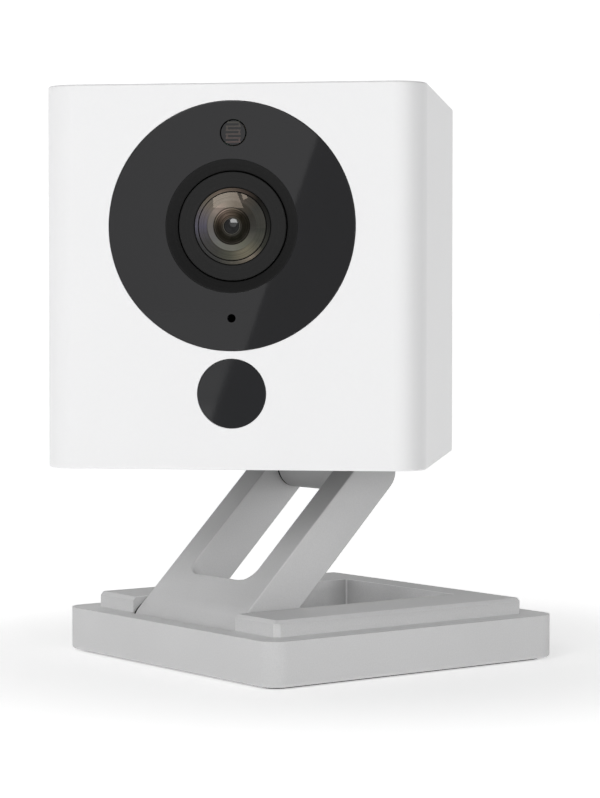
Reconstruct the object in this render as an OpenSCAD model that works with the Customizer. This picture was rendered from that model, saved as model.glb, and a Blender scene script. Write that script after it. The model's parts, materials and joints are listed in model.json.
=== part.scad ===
// Small indoor security camera: a cube-shaped head on a fold-out stand.
// Frame: origin at the centre of the base's underside, +Z up,
// +X along the fold hinge, +Y from the hinge side of the base to its back.
// The head's own front is its local -Y side.

/* [Base] */
// Side of the square base
base_w = 50; // [49:0.5:52]
// Height of the lower slab's top above the ground
slab_top = 6.35; // [6.1:0.05:6.6]
// Vertical corner radius of the lower slab
slab_r = 2.75; // [1.5:0.25:4]
// Side of the square upper step
step_w = 43.1; // [42.8:0.1:43.6]
// Height of the upper step's top above the ground
step_top = 8.55; // [8.3:0.05:8.9]
// Vertical corner radius of the upper step
step_r = 0.9; // [0.5:0.1:2]
// Half width of the well that the arm folds into
well_x = 12.3; // [12.25:0.05:12.6]
// Back wall of the well, measured from the centre of the base
well_back = 16.65; // [16:0.05:17]

/* [Arm] */
// Distance of the fold hinge in front of the centre of the base
hinge_y = -18.64; // [-18.8:0.02:-18.5]
// Height of the fold hinge
hinge_z = 4.8; // [4.7:0.05:4.9]
// Arm length between its two hinge axes
arm_len = 30.8; // [30:0.1:32]
// Arm angle above the ground as it stands
arm_angle = 45; // [40:1:50]
// Half width of the arm
arm_x = 12.05; // [11.9:0.05:12.05]
// Arm thickness, which is also the diameter of its rounded ends
arm_t = 6.4; // [6.2:0.1:6.4]
// Half width of the slot between the arm's legs
slot_x = 7.4; // [7.4:0.05:7.8]
// Where the slot starts, measured from the fold hinge
slot_start = 7.25; // [6.5:0.25:8]
// Radius of the slot's lower corners
slot_r = 2.4; // [1:0.1:3]

/* [Hinges] */
// Radius of the hinge pins
pin_r = 1.25; // [1.2:0.01:1.26]
// Radius of the running bores around the pins
pin_bore_r = 1.30; // [1.3:0.01:1.32]
// Distance of the swivel axis in front of the tilt axis
swivel_back = 11.16; // [11:0.02:11.3]
// Radius of the swivel disc
disc_r = 16; // [15:0.25:16]

/* [Head] */
// Side of the cube-shaped head
head_w = 50; // [50:0.5:52]
// Corner radius of the head's vertical edges
head_r = 4; // [3:0.25:5]
// Turn of the head on its swivel as it stands, in degrees
head_yaw = 45; // [0:5:90]
// Height of the head's underside above the tilt axis
head_lift = 1.65; // [1.6:0.05:1.8]
// Radius of the black front bezel
bezel_r = 16.15; // [15.8:0.05:16.3]
// Height of the bezel and lens above the middle of the head
lens_z = 6.55; // [6.4:0.05:6.7]
// Radius of the motion sensor window
pir_r = 4.48; // [4:0.02:4.6]
// Depth of the motion sensor window below the middle of the head
pir_z = -15.1; // [-15.3:0.05:-14.8]
// Travel of the setup button
button_travel = 0.5; // [0.3:0.1:0.5]

/* [Hidden] */
$fn = 96;
e = 0.5;
wall = 2;
hw = head_w / 2;
well_front = -22.1;
floor_z = 1.0;
arm_r = arm_t / 2;
tilt_y = hinge_y + arm_len * cos(arm_angle);
tilt_z = hinge_z + arm_len * sin(arm_angle);
swivel_y = tilt_y - swivel_back;
head_z = tilt_z + head_lift + hw;
cover_lo = 2.6 - hw;           // recess ceiling, in the head's own frame
cover_hi = cover_lo + 3;
disc_t = 1.4;
stem_r = 5;
button_p = [-18, -17];
card_p = [13, -19.6];
post_p = [[-17.5, -3], [17.5, -3], [-17.5, 19], [17.5, 19]];
case_p = [[-20, -8], [20, -8], [-20, 8], [20, 8]];
base_p = [[-19.5, -17.6], [19.5, -17.6], [-19.5, 18.5], [19.5, 18.5]];
led_a = [25, 155, 205, 335];
white = [0.93, 0.93, 0.93];
grey = [0.74, 0.74, 0.75];
black = [0.09, 0.09, 0.1];
steel = [0.75, 0.76, 0.78];
board = [0.1, 0.32, 0.2];

// ---- helpers -------------------------------------------------------------

// Rectangle with exact round corners, centred on the origin.
module rsq(w, d, r) {
    square([w - 2 * r, d], center = true);
    square([w, d - 2 * r], center = true);
    for (sx = [-1, 1], sy = [-1, 1])
        translate([sx * (w / 2 - r), sy * (d / 2 - r)]) circle(r = r);
}

// Upright slab with round corners, from z0 to z1.
module slab(w, d, r, z0, z1) {
    translate([0, 0, z0]) linear_extrude(z1 - z0) rsq(w, d, r);
}

// Box between two opposite corners.
module span(a, b) {
    translate(a) cube(b - a);
}

// Round bar along X.
module xcyl(r, x0, x1, y = 0, z = 0) {
    translate([x0, y, z]) rotate([0, 90, 0]) cylinder(r = r, h = x1 - x0);
}

// Round bar along Y.
module ycyl(r, y0, y1, x = 0, z = 0) {
    translate([x, y0, z]) rotate([-90, 0, 0]) cylinder(r = r, h = y1 - y0);
}

// Round bar along Z.
module zcyl(r, z0, z1, p = [0, 0]) {
    translate([p[0], p[1], z0]) cylinder(r = r, h = z1 - z0);
}

// Body of revolution around the lens axis: profile points are [radius, y].
module on_lens(points) {
    translate([0, 0, lens_z]) rotate([-90, 0, 0]) rotate_extrude() polygon(points);
}

// The arm's own frame: +Y runs along the arm from the fold hinge.
module in_arm() {
    translate([0, hinge_y, hinge_z]) rotate([arm_angle, 0, 0]) children();
}

// The tilt hinge's frame, level.
module in_tilt() {
    translate([0, tilt_y, tilt_z]) children();
}

// The head's own frame: origin at the middle of the head, front on -Y.
// The swivel axis passes 1 mm behind the middle.
module in_head() {
    translate([0, swivel_y, head_z]) rotate([0, 0, head_yaw]) translate([0, -1, 0]) children();
}

// ---- base ----------------------------------------------------------------

module base_shell() color(grey) difference() {
    union() {
        slab(base_w, base_w, slab_r, 0.3, slab_top);
        slab(step_w, step_w, step_r, 2, step_top);
    }
    span([-well_x, well_front, -1], [well_x, well_back, step_top + 1]);
    slab(base_w - 2.4, base_w - 2.4, 2.2, -1, floor_z);
    for (s = [-1, 1]) {
        translate([s * 18.3, 0, 0]) span([-4, -12.1, 0.5], [4, 12.1, 5.1]);
        xcyl(pin_r + 0.02, s > 0 ? 12 : -15.8, s > 0 ? 15.8 : -12, hinge_y, hinge_z);
        translate([s * 14, hinge_y, 0]) span([-1.8, -pin_r - 0.02, 0.5], [1.8, pin_r + 0.02, hinge_z]);
    }
    for (p = base_p) zcyl(0.8, 0.5, 6, p);
}

module base_cover() color([0.3, 0.3, 0.31]) difference() {
    slab(base_w - 2.6, base_w - 2.6, 2.1, 0.5, floor_z);
    for (p = base_p) translate([p[0], p[1], 0.5]) cylinder(r1 = 1.5, r2 = 0.8, h = 0.5);
}

module foot_pad() color([0.16, 0.16, 0.17]) slab(base_w - 2.8, base_w - 2.8, 2.0, 0, 0.5);

module base_magnets() color(steel)
    for (s = [-1, 1]) translate([s * 18.3, 0, 0]) span([-3.9, -12, floor_z], [3.9, 12, 5]);

module base_screws() color(steel)
    for (p = base_p) {
        translate([p[0], p[1], 0.5]) cylinder(r1 = 1.5, r2 = 0.8, h = 0.5);
        zcyl(0.8, 1, 5.8, p);
    }

module fold_pin() color(steel) xcyl(pin_r, -15.7, 15.7, hinge_y, hinge_z);

module fold_pin_saddles() color(grey)
    for (s = [-1, 1]) difference() {
        translate([s * 14.15, hinge_y, 0]) span([-1.5, -1.2, floor_z], [1.5, 1.2, hinge_z - 0.7]);
        xcyl(pin_r + 0.02, -17, 17, hinge_y, hinge_z);
    }

module fold_washers() color([0.2, 0.2, 0.21])
    for (s = [-1, 1]) difference() {
        xcyl(2.6, s > 0 ? arm_x + 0.05 : -well_x + 0.05, s > 0 ? well_x - 0.05 : -arm_x - 0.05, hinge_y, hinge_z);
        xcyl(pin_r + 0.02, -17, 17, hinge_y, hinge_z);
    }

// ---- arm -----------------------------------------------------------------

module arm_frame() color(grey) in_arm() difference() {
    union() {
        span([-arm_x, 0, -arm_r], [arm_x, arm_len, arm_r]);
        xcyl(arm_r, -arm_x, arm_x);
        xcyl(arm_r, -arm_x, arm_x, arm_len);
    }
    translate([0, 0, -arm_r - 1]) linear_extrude(arm_t + 2) {
        translate([-slot_x, slot_start + slot_r]) square([2 * slot_x, arm_len]);
        translate([-slot_x + slot_r, slot_start]) square([2 * (slot_x - slot_r), arm_len]);
        for (s = [-1, 1])
            translate([s * (slot_x - slot_r), slot_start + slot_r]) circle(r = slot_r);
    }
    xcyl(pin_bore_r, -arm_x - 1, arm_x + 1);
    for (s = [-1, 1])
        xcyl(2, s > 0 ? slot_x - 1 : -11, s > 0 ? 11 : -slot_x + 1, arm_len);
}

module tilt_bushings() color([0.72, 0.6, 0.35]) in_arm()
    for (s = [-1, 1]) difference() {
        union() {
            xcyl(2, s > 0 ? slot_x - 0.1 : -10.95, s > 0 ? 10.95 : -slot_x + 0.1, arm_len);
            xcyl(2.8, s > 0 ? slot_x - 0.22 : -slot_x, s > 0 ? slot_x : -slot_x + 0.22, arm_len);
        }
        xcyl(pin_bore_r, -12, 12, arm_len);
    }

module tilt_pin() color(steel) in_tilt() xcyl(pin_r, -10.8, 10.8);

// ---- swivel --------------------------------------------------------------

knuckle_x = slot_x - 0.3;
ceil_z = cover_lo + hw + head_lift;    // recess ceiling above the tilt axis
stem_top = ceil_z + 3.5;

module swivel_knuckle() color(grey) in_tilt() difference() {
    union() {
        xcyl(arm_r, -knuckle_x, knuckle_x);
        span([-knuckle_x, -arm_r, 0], [knuckle_x, arm_r, ceil_z + 0.5]);
        zcyl(disc_r, ceil_z, ceil_z + disc_t, [0, -swivel_back]);
        zcyl(stem_r, ceil_z + 1, stem_top, [0, -swivel_back]);
    }
    xcyl(pin_bore_r, -knuckle_x - 1, knuckle_x + 1);
    zcyl(1.5, ceil_z + 0.6, stem_top + 1, [0, -swivel_back]);
}

module wave_washer() color(steel) in_tilt() difference() {
    zcyl(7.6, ceil_z + 3.05, ceil_z + 3.45, [0, -swivel_back]);
    zcyl(stem_r + 0.2, ceil_z + 2, ceil_z + 4, [0, -swivel_back]);
}

module swivel_retainer() color(steel) in_tilt() difference() {
    zcyl(8, stem_top, stem_top + 0.8, [0, -swivel_back]);
    zcyl(1.5, stem_top - 1, stem_top + 2, [0, -swivel_back]);
}

module swivel_screw() color(steel) in_tilt() difference() {
    union() {
        zcyl(1.5, ceil_z + 0.8, stem_top + 1, [0, -swivel_back]);
        zcyl(2.8, stem_top + 0.8, stem_top + 2.4, [0, -swivel_back]);
    }
    translate([0, -swivel_back, stem_top + 1.7]) {
        span([-1.6, -0.3, 0], [1.6, 0.3, 2]);
        span([-0.3, -1.6, 0], [0.3, 1.6, 2]);
    }
}

// ---- head casing ---------------------------------------------------------

module head_shell() color(white) in_head() difference() {
    union() {
        difference() {
            slab(head_w, head_w, head_r, -hw, hw);
            slab(head_w - 2 * wall, head_w - 2 * wall, 2.2, cover_hi, hw - wall);
            slab(44.7, 44.7, 2.5, -hw - 1, cover_hi + 0.5);
        }
        for (p = post_p) ycyl(2.2, -hw + wall - e, 4, p[0], p[1]);
        for (p = case_p) intersection() {
            span([p[0] - 2.8, p[1] - 2.5, cover_hi], [p[0] + 2.8, p[1] + 2.5, -12]);
            slab(head_w - 1, head_w - 1, 3.5, -hw, hw);
        }
    }
    // seat and opening of the front bezel
    ycyl(bezel_r + 0.05, -hw - 1, -hw + 1.25, 0, lens_z);
    ycyl(14.3, -hw - 1, -hw + wall + 0.3, 0, lens_z);
    // motion sensor window
    ycyl(pir_r + 0.05, -hw - 1, -hw + wall + 1, 0, pir_z);
    // rear opening
    translate([0, hw - wall - e, 0]) rotate([-90, 0, 0]) linear_extrude(wall + 1) rsq(41.2, 43.2, 2);
    for (p = post_p) ycyl(0.8, -3.2, 4.5, p[0], p[1]);
    for (p = case_p) zcyl(0.8, cover_hi - 1, -13.4, p);
}

module rear_cover() color(white) in_head() difference() {
    translate([0, hw - 2.2, 0]) rotate([-90, 0, 0]) linear_extrude(2) rsq(41, 43, 1.9);
    // openings of the two ports, the status light and the speaker
    span([9 - 7.3, hw - 3, -17.6], [9 + 7.3, hw + 1, -10.4]);
    span([-14, hw - 3, -17.6], [-6, hw + 1, -14.5]);
    ycyl(0.95, hw - 3, hw + 1, -2.5, -16.2);
    for (ring = [0 : 3], k = [0 : max(ring * 6 - 1, 0)])
        let (a = ring == 0 ? 0 : k * 60 / ring)
        ycyl(0.5, hw - 3, hw + 1, ring * 2.1 * cos(a), 8 + ring * 2.1 * sin(a));
}

module bottom_cover() color(white) in_head() difference() {
    slab(44.6, 44.6, 2.45, cover_lo, cover_hi);
    // seat and bore of the swivel
    zcyl(disc_r + 0.1, cover_lo - 1, cover_lo + disc_t + 0.05, [0, 1]);
    zcyl(stem_r + 0.05, cover_lo - 1, cover_hi + 1, [0, 1]);
    // setup button, card slot, screws
    zcyl(2.2, cover_lo - 1, cover_hi + 1, button_p);
    span([card_p[0] - 5.75, card_p[1] - 0.8, cover_lo - 1], [card_p[0] + 5.75, card_p[1] + 0.8, cover_hi + 1]);
    for (p = case_p) {
        zcyl(0.8, cover_lo - 1, cover_hi + 1, p);
        zcyl(1.7, cover_lo - 1, cover_lo + 1, p);
    }
}

module case_screws() color(steel) in_head()
    for (p = case_p) difference() {
        union() {
            zcyl(1.6, cover_lo + 0.05, cover_lo + 1, p);
            zcyl(0.8, cover_lo + 0.5, -13.6, p);
        }
        translate([p[0], p[1], cover_lo - 0.5]) {
            span([-0.9, -0.15, 0], [0.9, 0.15, 1]);
            span([-0.15, -0.9, 0], [0.15, 0.9, 1]);
        }
    }

// ---- front: bezel, lens and windows --------------------------------------

module front_bezel() color(black) in_head() difference() {
    ycyl(bezel_r, -hw, -hw + 1.25, 0, lens_z);
    ycyl(8.65, -hw - 1, -hw + 2, 0, lens_z);
    ycyl(1.76, -hw - 1, -hw + 2, 0, lens_z + 12.15);
    ycyl(0.54, -hw - 1, -hw + 2, 0, lens_z - 11.9);
}

module lens_hood() color(black) in_head()
    on_lens([[8.6, -24.95], [8.5, -24.95], [7.15, -24.0], [7.15, -23.0], [8.6, -23.0]]);

module lens_barrel() color(black) in_head()
    on_lens([[7.05, -24.2], [5.07, -24.2], [5.07, -22.35], [4.47, -22.35], [4.47, -20.35],
        [3.15, -20.35], [3.15, -18.1], [2.39, -18.1], [2.39, -17.5], [3.6, -17.5],
        [3.6, -9.1], [6, -9.1], [6, -21.5], [7.05, -21.5]]);

module front_lens() color([0.5, 0.55, 0.62, 0.5]) in_head() translate([0, 0, lens_z]) difference() {
    intersection() {
        ycyl(5.02, -25, -22.4);
        translate([0, -24.9 + 14, 0]) sphere(r = 14);
    }
    translate([0, -23.9 + 7, 0]) sphere(r = 7);
}

module inner_lens() color([0.5, 0.55, 0.62, 0.5]) in_head() translate([0, 0, lens_z]) intersection() {
    ycyl(3.1, -21, -18.15);
    translate([0, -20.3 + 8, 0]) sphere(r = 8);
}

module rear_lens() color([0.5, 0.55, 0.62, 0.5]) in_head() translate([0, 0, lens_z]) intersection() {
    ycyl(3.55, -16.5, -11);
    translate([0, -16.4 + 12, 0]) sphere(r = 12);
    translate([0, -11.2 - 12, 0]) sphere(r = 12);
}

module sensor_window() color([0.25, 0.25, 0.27, 0.6]) in_head()
    ycyl(1.71, -hw, -hw + 0.8, 0, lens_z + 12.15);

module light_sensor() color([0.6, 0.45, 0.35]) in_head()
    ycyl(1.6, -hw + 0.9, -22.9, 0, lens_z + 12.15);

module microphone() color([0.7, 0.68, 0.6]) in_head()
    span([-1.9, -23.65, lens_z - 13.3], [1.9, -22.9, lens_z - 10.5]);

module pir_window() color(black) in_head() ycyl(pir_r, -hw, -22.6, 0, pir_z);

module pir_sensor() color(steel) in_head() {
    ycyl(3.9, -21.9, -17.9, 0, pir_z);
    ycyl(4.1, -18.2, -17.4, 0, pir_z);
}

module pir_board() color(board) in_head() span([-5.5, -17.4, -19.2], [5.5, -16.4, -10]);

// ---- camera module -------------------------------------------------------

module lens_holder() color(black) in_head() difference() {
    span([-7.5, -13, lens_z - 8.5], [11, -5, lens_z + 8.5]);
    ycyl(6.05, -14, -9.05, 0, lens_z);
    ycyl(4.2, -10, -8, 0, lens_z);
    span([-4.8, -8.2, lens_z - 4.5], [9.5, -6.7, lens_z + 4.5]);
    span([-5, -7, lens_z - 5], [5, -4, lens_z + 5]);
}

module ir_cut_filter() color([0.55, 0.75, 0.8, 0.6]) in_head()
    span([-4.6, -7.8, lens_z - 4.3], [4.6, -7.1, lens_z + 4.3]);

module ir_cut_coil() color([0.7, 0.4, 0.2]) in_head() difference() {
    zcyl(1.7, lens_z - 3, lens_z + 3, [12.7, -8.5]);
    zcyl(0.6, lens_z - 4, lens_z + 4, [12.7, -8.5]);
}

module image_sensor() color([0.2, 0.25, 0.3]) in_head()
    span([-4, -6.3, lens_z - 4], [4, -5, lens_z + 4]);

module sensor_board() color(board) in_head()
    span([-12, -5, lens_z - 12], [12, -4, lens_z + 12]);

module board_standoffs() color([0.72, 0.6, 0.35]) in_head()
    for (x = [-10, 10], z = [-3.5, 16.5]) ycyl(1.5, -4, 4, x, z);

module sensor_flex() color([0.75, 0.5, 0.2]) in_head() span([-4, -4, 10], [4, 4, 10.25]);

module ir_led_board() color(board) in_head() difference() {
    ycyl(15, -22.9, -21.9, 0, lens_z);
    ycyl(7.4, -24, -21, 0, lens_z);
}

module ir_leds() color([0.75, 0.75, 0.8]) in_head()
    for (a = led_a) ycyl(1.5, -23.6, -22.9, 11 * cos(a), lens_z + 11 * sin(a));

// ---- boards and fittings -------------------------------------------------

module main_board() color(board) in_head() difference() {
    span([-20, 4, -6], [20, 5.2, 21.5]);
    for (p = post_p) ycyl(0.9, 3, 6, p[0], p[1]);
}

module shield_can() color(steel) in_head() span([-8, 5.2, 0], [8, 7.2, 16]);

module heat_sink() color([0.6, 0.61, 0.63]) in_head() {
    span([-9, 7.2, -1], [9, 8.4, 17]);
    for (i = [0 : 6]) span([-9 + i * 2.8, 8.4, -1], [-7.8 + i * 2.8, 11.2, 17]);
}

module board_screws() color(steel) in_head()
    for (p = post_p) {
        ycyl(0.8, -3, 5.4, p[0], p[1]);
        ycyl(1.7, 5.2, 6.6, p[0], p[1]);
    }

module wifi_antenna() color([0.2, 0.2, 0.2]) in_head() span([-14, -12, 22.6], [14, -2, 23]);

module speaker() color([0.15, 0.15, 0.16]) in_head() {
    ycyl(9, 17, 22.7, 0, 8);
    ycyl(5.5, 13, 17.5, 0, 8);
}

module usb_board() color(board) in_head() span([-19.5, 11, -18.7], [19.5, 22.6, -17.5]);

module usb_a_port() color(steel) in_head() {
    difference() {
        span([9 - 7.2, 11, -17.5], [9 + 7.2, hw - 0.4, -10.5]);
        span([9 - 6.25, 14, -16.55], [9 + 6.25, hw + 1, -11.45]);
    }
    span([9 - 5.6, 13, -14.2], [9 + 5.6, hw - 2.4, -12.4]);
}

module micro_usb_port() color(steel) in_head() {
    difference() {
        span([-13.9, 19, -17.5], [-6.1, hw - 0.4, -14.6]);
        span([-13.4, 20, -17.1], [-6.6, hw + 1, -15]);
    }
    span([-12.2, 19.5, -16.3], [-7.8, hw - 1.2, -15.7]);
}

module status_led() color([0.9, 0.85, 0.5]) in_head() span([-3.3, 19.5, -17.5], [-1.7, 21.5, -15.4]);

module light_pipe() color([0.85, 0.9, 0.95, 0.6]) in_head() ycyl(0.9, 21.6, hw - 0.2, -2.5, -16.2);

module setup_button() color([0.8, 0.8, 0.81]) in_head() {
    zcyl(2.1, cover_lo - 0.3, cover_hi + 0.3, button_p);
    zcyl(2.8, cover_hi + 0.1, cover_hi + 0.7, button_p);
}

module button_switch() color([0.2, 0.2, 0.2]) in_head()
    translate([button_p[0], button_p[1], 0]) {
        span([-3, -3, -17.2], [3, 3, -14.7]);
        zcyl(1.5, cover_hi + 0.8 + button_travel, -17);
    }

module switch_board() color(board) in_head() span([-22.2, -22.2, -14.7], [-8, -11, -13.7]);

module microsd_socket() color(steel) in_head() difference() {
    span([card_p[0] - 6.25, -20.9, cover_hi], [card_p[0] + 6.25, -18.3, -5.4]);
    span([card_p[0] - 5.6, -20.2, cover_hi - 1], [card_p[0] + 5.6, -19, -6.4]);
}

module card_board() color(board) in_head() span([5.8, -18.3, -19.3], [21, -17.3, -5.4]);

// ---- assembly ------------------------------------------------------------

base_shell();
base_cover();
foot_pad();
base_magnets();
base_screws();
fold_pin();
fold_pin_saddles();
fold_washers();
arm_frame();
tilt_bushings();
tilt_pin();
swivel_knuckle();
wave_washer();
swivel_retainer();
swivel_screw();
head_shell();
rear_cover();
bottom_cover();
case_screws();
front_bezel();
lens_hood();
lens_barrel();
front_lens();
inner_lens();
rear_lens();
lens_holder();
ir_cut_filter();
ir_cut_coil();
image_sensor();
sensor_board();
board_standoffs();
sensor_flex();
ir_led_board();
ir_leds();
sensor_window();
light_sensor();
microphone();
pir_window();
pir_sensor();
pir_board();
main_board();
shield_can();
heat_sink();
board_screws();
wifi_antenna();
speaker();
usb_board();
usb_a_port();
micro_usb_port();
status_led();
light_pipe();
setup_button();
button_switch();
switch_board();
microsd_socket();
card_board();
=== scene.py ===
import json
import math

import bmesh
import bpy
from mathutils import Euler, Matrix, Vector


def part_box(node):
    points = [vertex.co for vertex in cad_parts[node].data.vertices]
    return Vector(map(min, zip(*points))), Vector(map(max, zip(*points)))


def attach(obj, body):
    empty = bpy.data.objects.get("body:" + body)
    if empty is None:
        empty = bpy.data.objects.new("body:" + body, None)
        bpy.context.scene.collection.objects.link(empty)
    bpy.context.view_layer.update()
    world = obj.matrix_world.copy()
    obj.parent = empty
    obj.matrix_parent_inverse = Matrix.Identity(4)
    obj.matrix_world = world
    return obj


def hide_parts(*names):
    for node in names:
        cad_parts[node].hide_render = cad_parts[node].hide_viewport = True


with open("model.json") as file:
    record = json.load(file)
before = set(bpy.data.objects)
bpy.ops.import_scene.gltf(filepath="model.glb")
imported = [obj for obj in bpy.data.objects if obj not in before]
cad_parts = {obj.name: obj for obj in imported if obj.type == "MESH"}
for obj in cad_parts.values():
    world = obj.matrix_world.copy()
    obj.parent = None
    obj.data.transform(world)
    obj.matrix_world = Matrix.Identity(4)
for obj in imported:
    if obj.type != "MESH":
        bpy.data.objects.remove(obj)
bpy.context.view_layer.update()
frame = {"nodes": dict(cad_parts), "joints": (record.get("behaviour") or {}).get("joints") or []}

MM = 0.001
scene = bpy.context.scene

# ---------------------------------------------------------------- places
JOINT = {j["name"]: j for j in frame["joints"]}
HINGE = Vector(JOINT["arm_fold"]["pos_m"]) / MM
TILT = Vector(JOINT["head_tilt"]["pos_m"]) / MM
PAN = Vector(JOINT["head_pan"]["pos_m"]) / MM


def nbox(name):
    lo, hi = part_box(name)
    return Vector(lo) / MM, Vector(hi) / MM


def middle(name):
    lo, hi = nbox(name)
    return (lo + hi) / 2


HEAD = middle("head_shell")
YAW = math.radians(45)
ARM_ANGLE = math.atan2(TILT.z - HINGE.z, TILT.y - HINGE.y)
ARM_LEN = math.hypot(TILT.z - HINGE.z, TILT.y - HINGE.y)
LENS_Z = middle("front_bezel").z - HEAD.z
PIR_Z = middle("pir_window").z - HEAD.z
LDR_Z = middle("sensor_window").z - HEAD.z

M_ROW = Matrix.Identity(4)
M_HEAD = Matrix.Translation(HEAD) @ Matrix.Rotation(YAW, 4, "Z")
M_ARM = Matrix.Translation(HINGE) @ Matrix.Rotation(ARM_ANGLE, 4, "X")
M_TILT = Matrix.Translation(TILT)
# local Z of a profile turned to point along +Y of the head (into the head)
Y_UP = Matrix.Rotation(math.radians(-90), 4, "X")
X_UP = Matrix.Rotation(math.radians(90), 4, "Y")


def lens_frame(z=LENS_Z):
    return M_HEAD @ Matrix.Translation((0, 0, z)) @ Y_UP


# ---------------------------------------------------------------- materials
def _mat(name):
    m = bpy.data.materials.new(name)
    m.use_nodes = True
    nt = m.node_tree
    bsdf = nt.nodes["Principled BSDF"]
    return m, nt, bsdf


def _coords(nt, scale=1000.0):
    """Object coordinates in millimetres."""
    tc = nt.nodes.new("ShaderNodeTexCoord")
    mp = nt.nodes.new("ShaderNodeMapping")
    mp.inputs["Scale"].default_value = (scale, scale, scale)
    nt.links.new(tc.outputs["Object"], mp.inputs["Vector"])
    return mp.outputs["Vector"]


def _noise(nt, vec, scale, detail=3.0, rough=0.6):
    n = nt.nodes.new("ShaderNodeTexNoise")
    n.inputs["Scale"].default_value = scale
    n.inputs["Detail"].default_value = detail
    n.inputs["Roughness"].default_value = rough
    nt.links.new(vec, n.inputs["Vector"])
    return n.outputs["Fac"]


def _ramp(nt, fac, lo, hi, c0, c1):
    r = nt.nodes.new("ShaderNodeValToRGB")
    r.color_ramp.elements[0].position = lo
    r.color_ramp.elements[1].position = hi
    r.color_ramp.elements[0].color = (*c0, 1)
    r.color_ramp.elements[1].color = (*c1, 1)
    nt.links.new(fac, r.inputs["Fac"])
    return r.outputs["Color"]


def _range(nt, fac, lo, hi, a, b):
    r = nt.nodes.new("ShaderNodeMapRange")
    r.inputs["From Min"].default_value = lo
    r.inputs["From Max"].default_value = hi
    r.inputs["To Min"].default_value = a
    r.inputs["To Max"].default_value = b
    nt.links.new(fac, r.inputs["Value"])
    return r.outputs["Result"]


def _bump(nt, bsdf, height, strength, dist):
    b = nt.nodes.new("ShaderNodeBump")
    b.inputs["Strength"].default_value = strength
    b.inputs["Distance"].default_value = dist
    nt.links.new(height, b.inputs["Height"])
    nt.links.new(b.outputs["Normal"], bsdf.inputs["Normal"])
    return b


def moulded(name, col, spread, grain, rough, bump, bump_mm, grain2=0.7, ior=1.46):
    """Moulded plastic: tone drift, fine spark-eroded grain in colour, gloss and relief."""
    m, nt, b = _mat(name)
    v = _coords(nt)
    big = _noise(nt, v, 0.06, 2)
    fine = _noise(nt, v, grain, 4, grain2)
    mix = nt.nodes.new("ShaderNodeMath")
    mix.operation = "MULTIPLY_ADD"
    mix.inputs[1].default_value = 0.7
    nt.links.new(fine, mix.inputs[0])
    half = nt.nodes.new("ShaderNodeMath")
    half.operation = "MULTIPLY"
    half.inputs[1].default_value = 0.3
    nt.links.new(big, half.inputs[0])
    nt.links.new(half.outputs[0], mix.inputs[2])
    c0 = tuple(max(0.0, c * (1 - spread)) for c in col)
    c1 = tuple(min(1.0, c * (1 + spread)) for c in col)
    nt.links.new(_ramp(nt, mix.outputs[0], 0.3, 0.7, c0, c1), b.inputs["Base Color"])
    nt.links.new(_range(nt, fine, 0.3, 0.7, rough - 0.05, rough + 0.05), b.inputs["Roughness"])
    b.inputs["IOR"].default_value = ior
    _bump(nt, b, fine, bump, bump_mm * MM)
    return m


def toned(m, factor):
    """Multiply the finish's colour by a greyscale factor socket built by factor(nt)."""
    nt = m.node_tree
    b = nt.nodes["Principled BSDF"]
    src = b.inputs["Base Color"].links[0].from_socket
    mix = nt.nodes.new("ShaderNodeVectorMath")
    mix.operation = "SCALE"
    nt.links.new(src, mix.inputs[0])
    nt.links.new(factor(nt), mix.inputs["Scale"])
    nt.links.new(mix.outputs[0], b.inputs["Base Color"])
    return m


def _steps(nt, fac, lo, hi, pairs):
    """Greyscale curve through (position, value) pairs over lo..hi; values may reach 2."""
    r = nt.nodes.new("ShaderNodeValToRGB")
    el = r.color_ramp.elements
    while len(el) > 1:
        el.remove(el[-1])
    for i, (q, v) in enumerate(pairs):
        e = el[0] if i == 0 else el.new((q - lo) / (hi - lo))
        e.position = (q - lo) / (hi - lo)
        e.color = (v / 2, v / 2, v / 2, 1)
    nt.links.new(_range(nt, fac, lo, hi, 0, 1), r.inputs["Fac"])
    m = nt.nodes.new("ShaderNodeMath")
    m.operation = "MULTIPLY"
    m.inputs[1].default_value = 2.0
    nt.links.new(r.outputs["Color"], m.inputs[0])
    return m.outputs[0]


def _blend(nt, fac, a, b):
    m = nt.nodes.new("ShaderNodeMix")
    m.data_type = "FLOAT"
    nt.links.new(fac, m.inputs["Factor"])
    nt.links.new(a, m.inputs[2])
    nt.links.new(b, m.inputs[3])
    return m.outputs[0]


def _math(nt, kind, a, b=None):
    m = nt.nodes.new("ShaderNodeMath")
    m.operation = kind
    for i, x in enumerate((a, b)):
        if isinstance(x, (int, float)):
            m.inputs[i].default_value = x
        elif x is not None:
            nt.links.new(x, m.inputs[i])
    return m.outputs[0]


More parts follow.
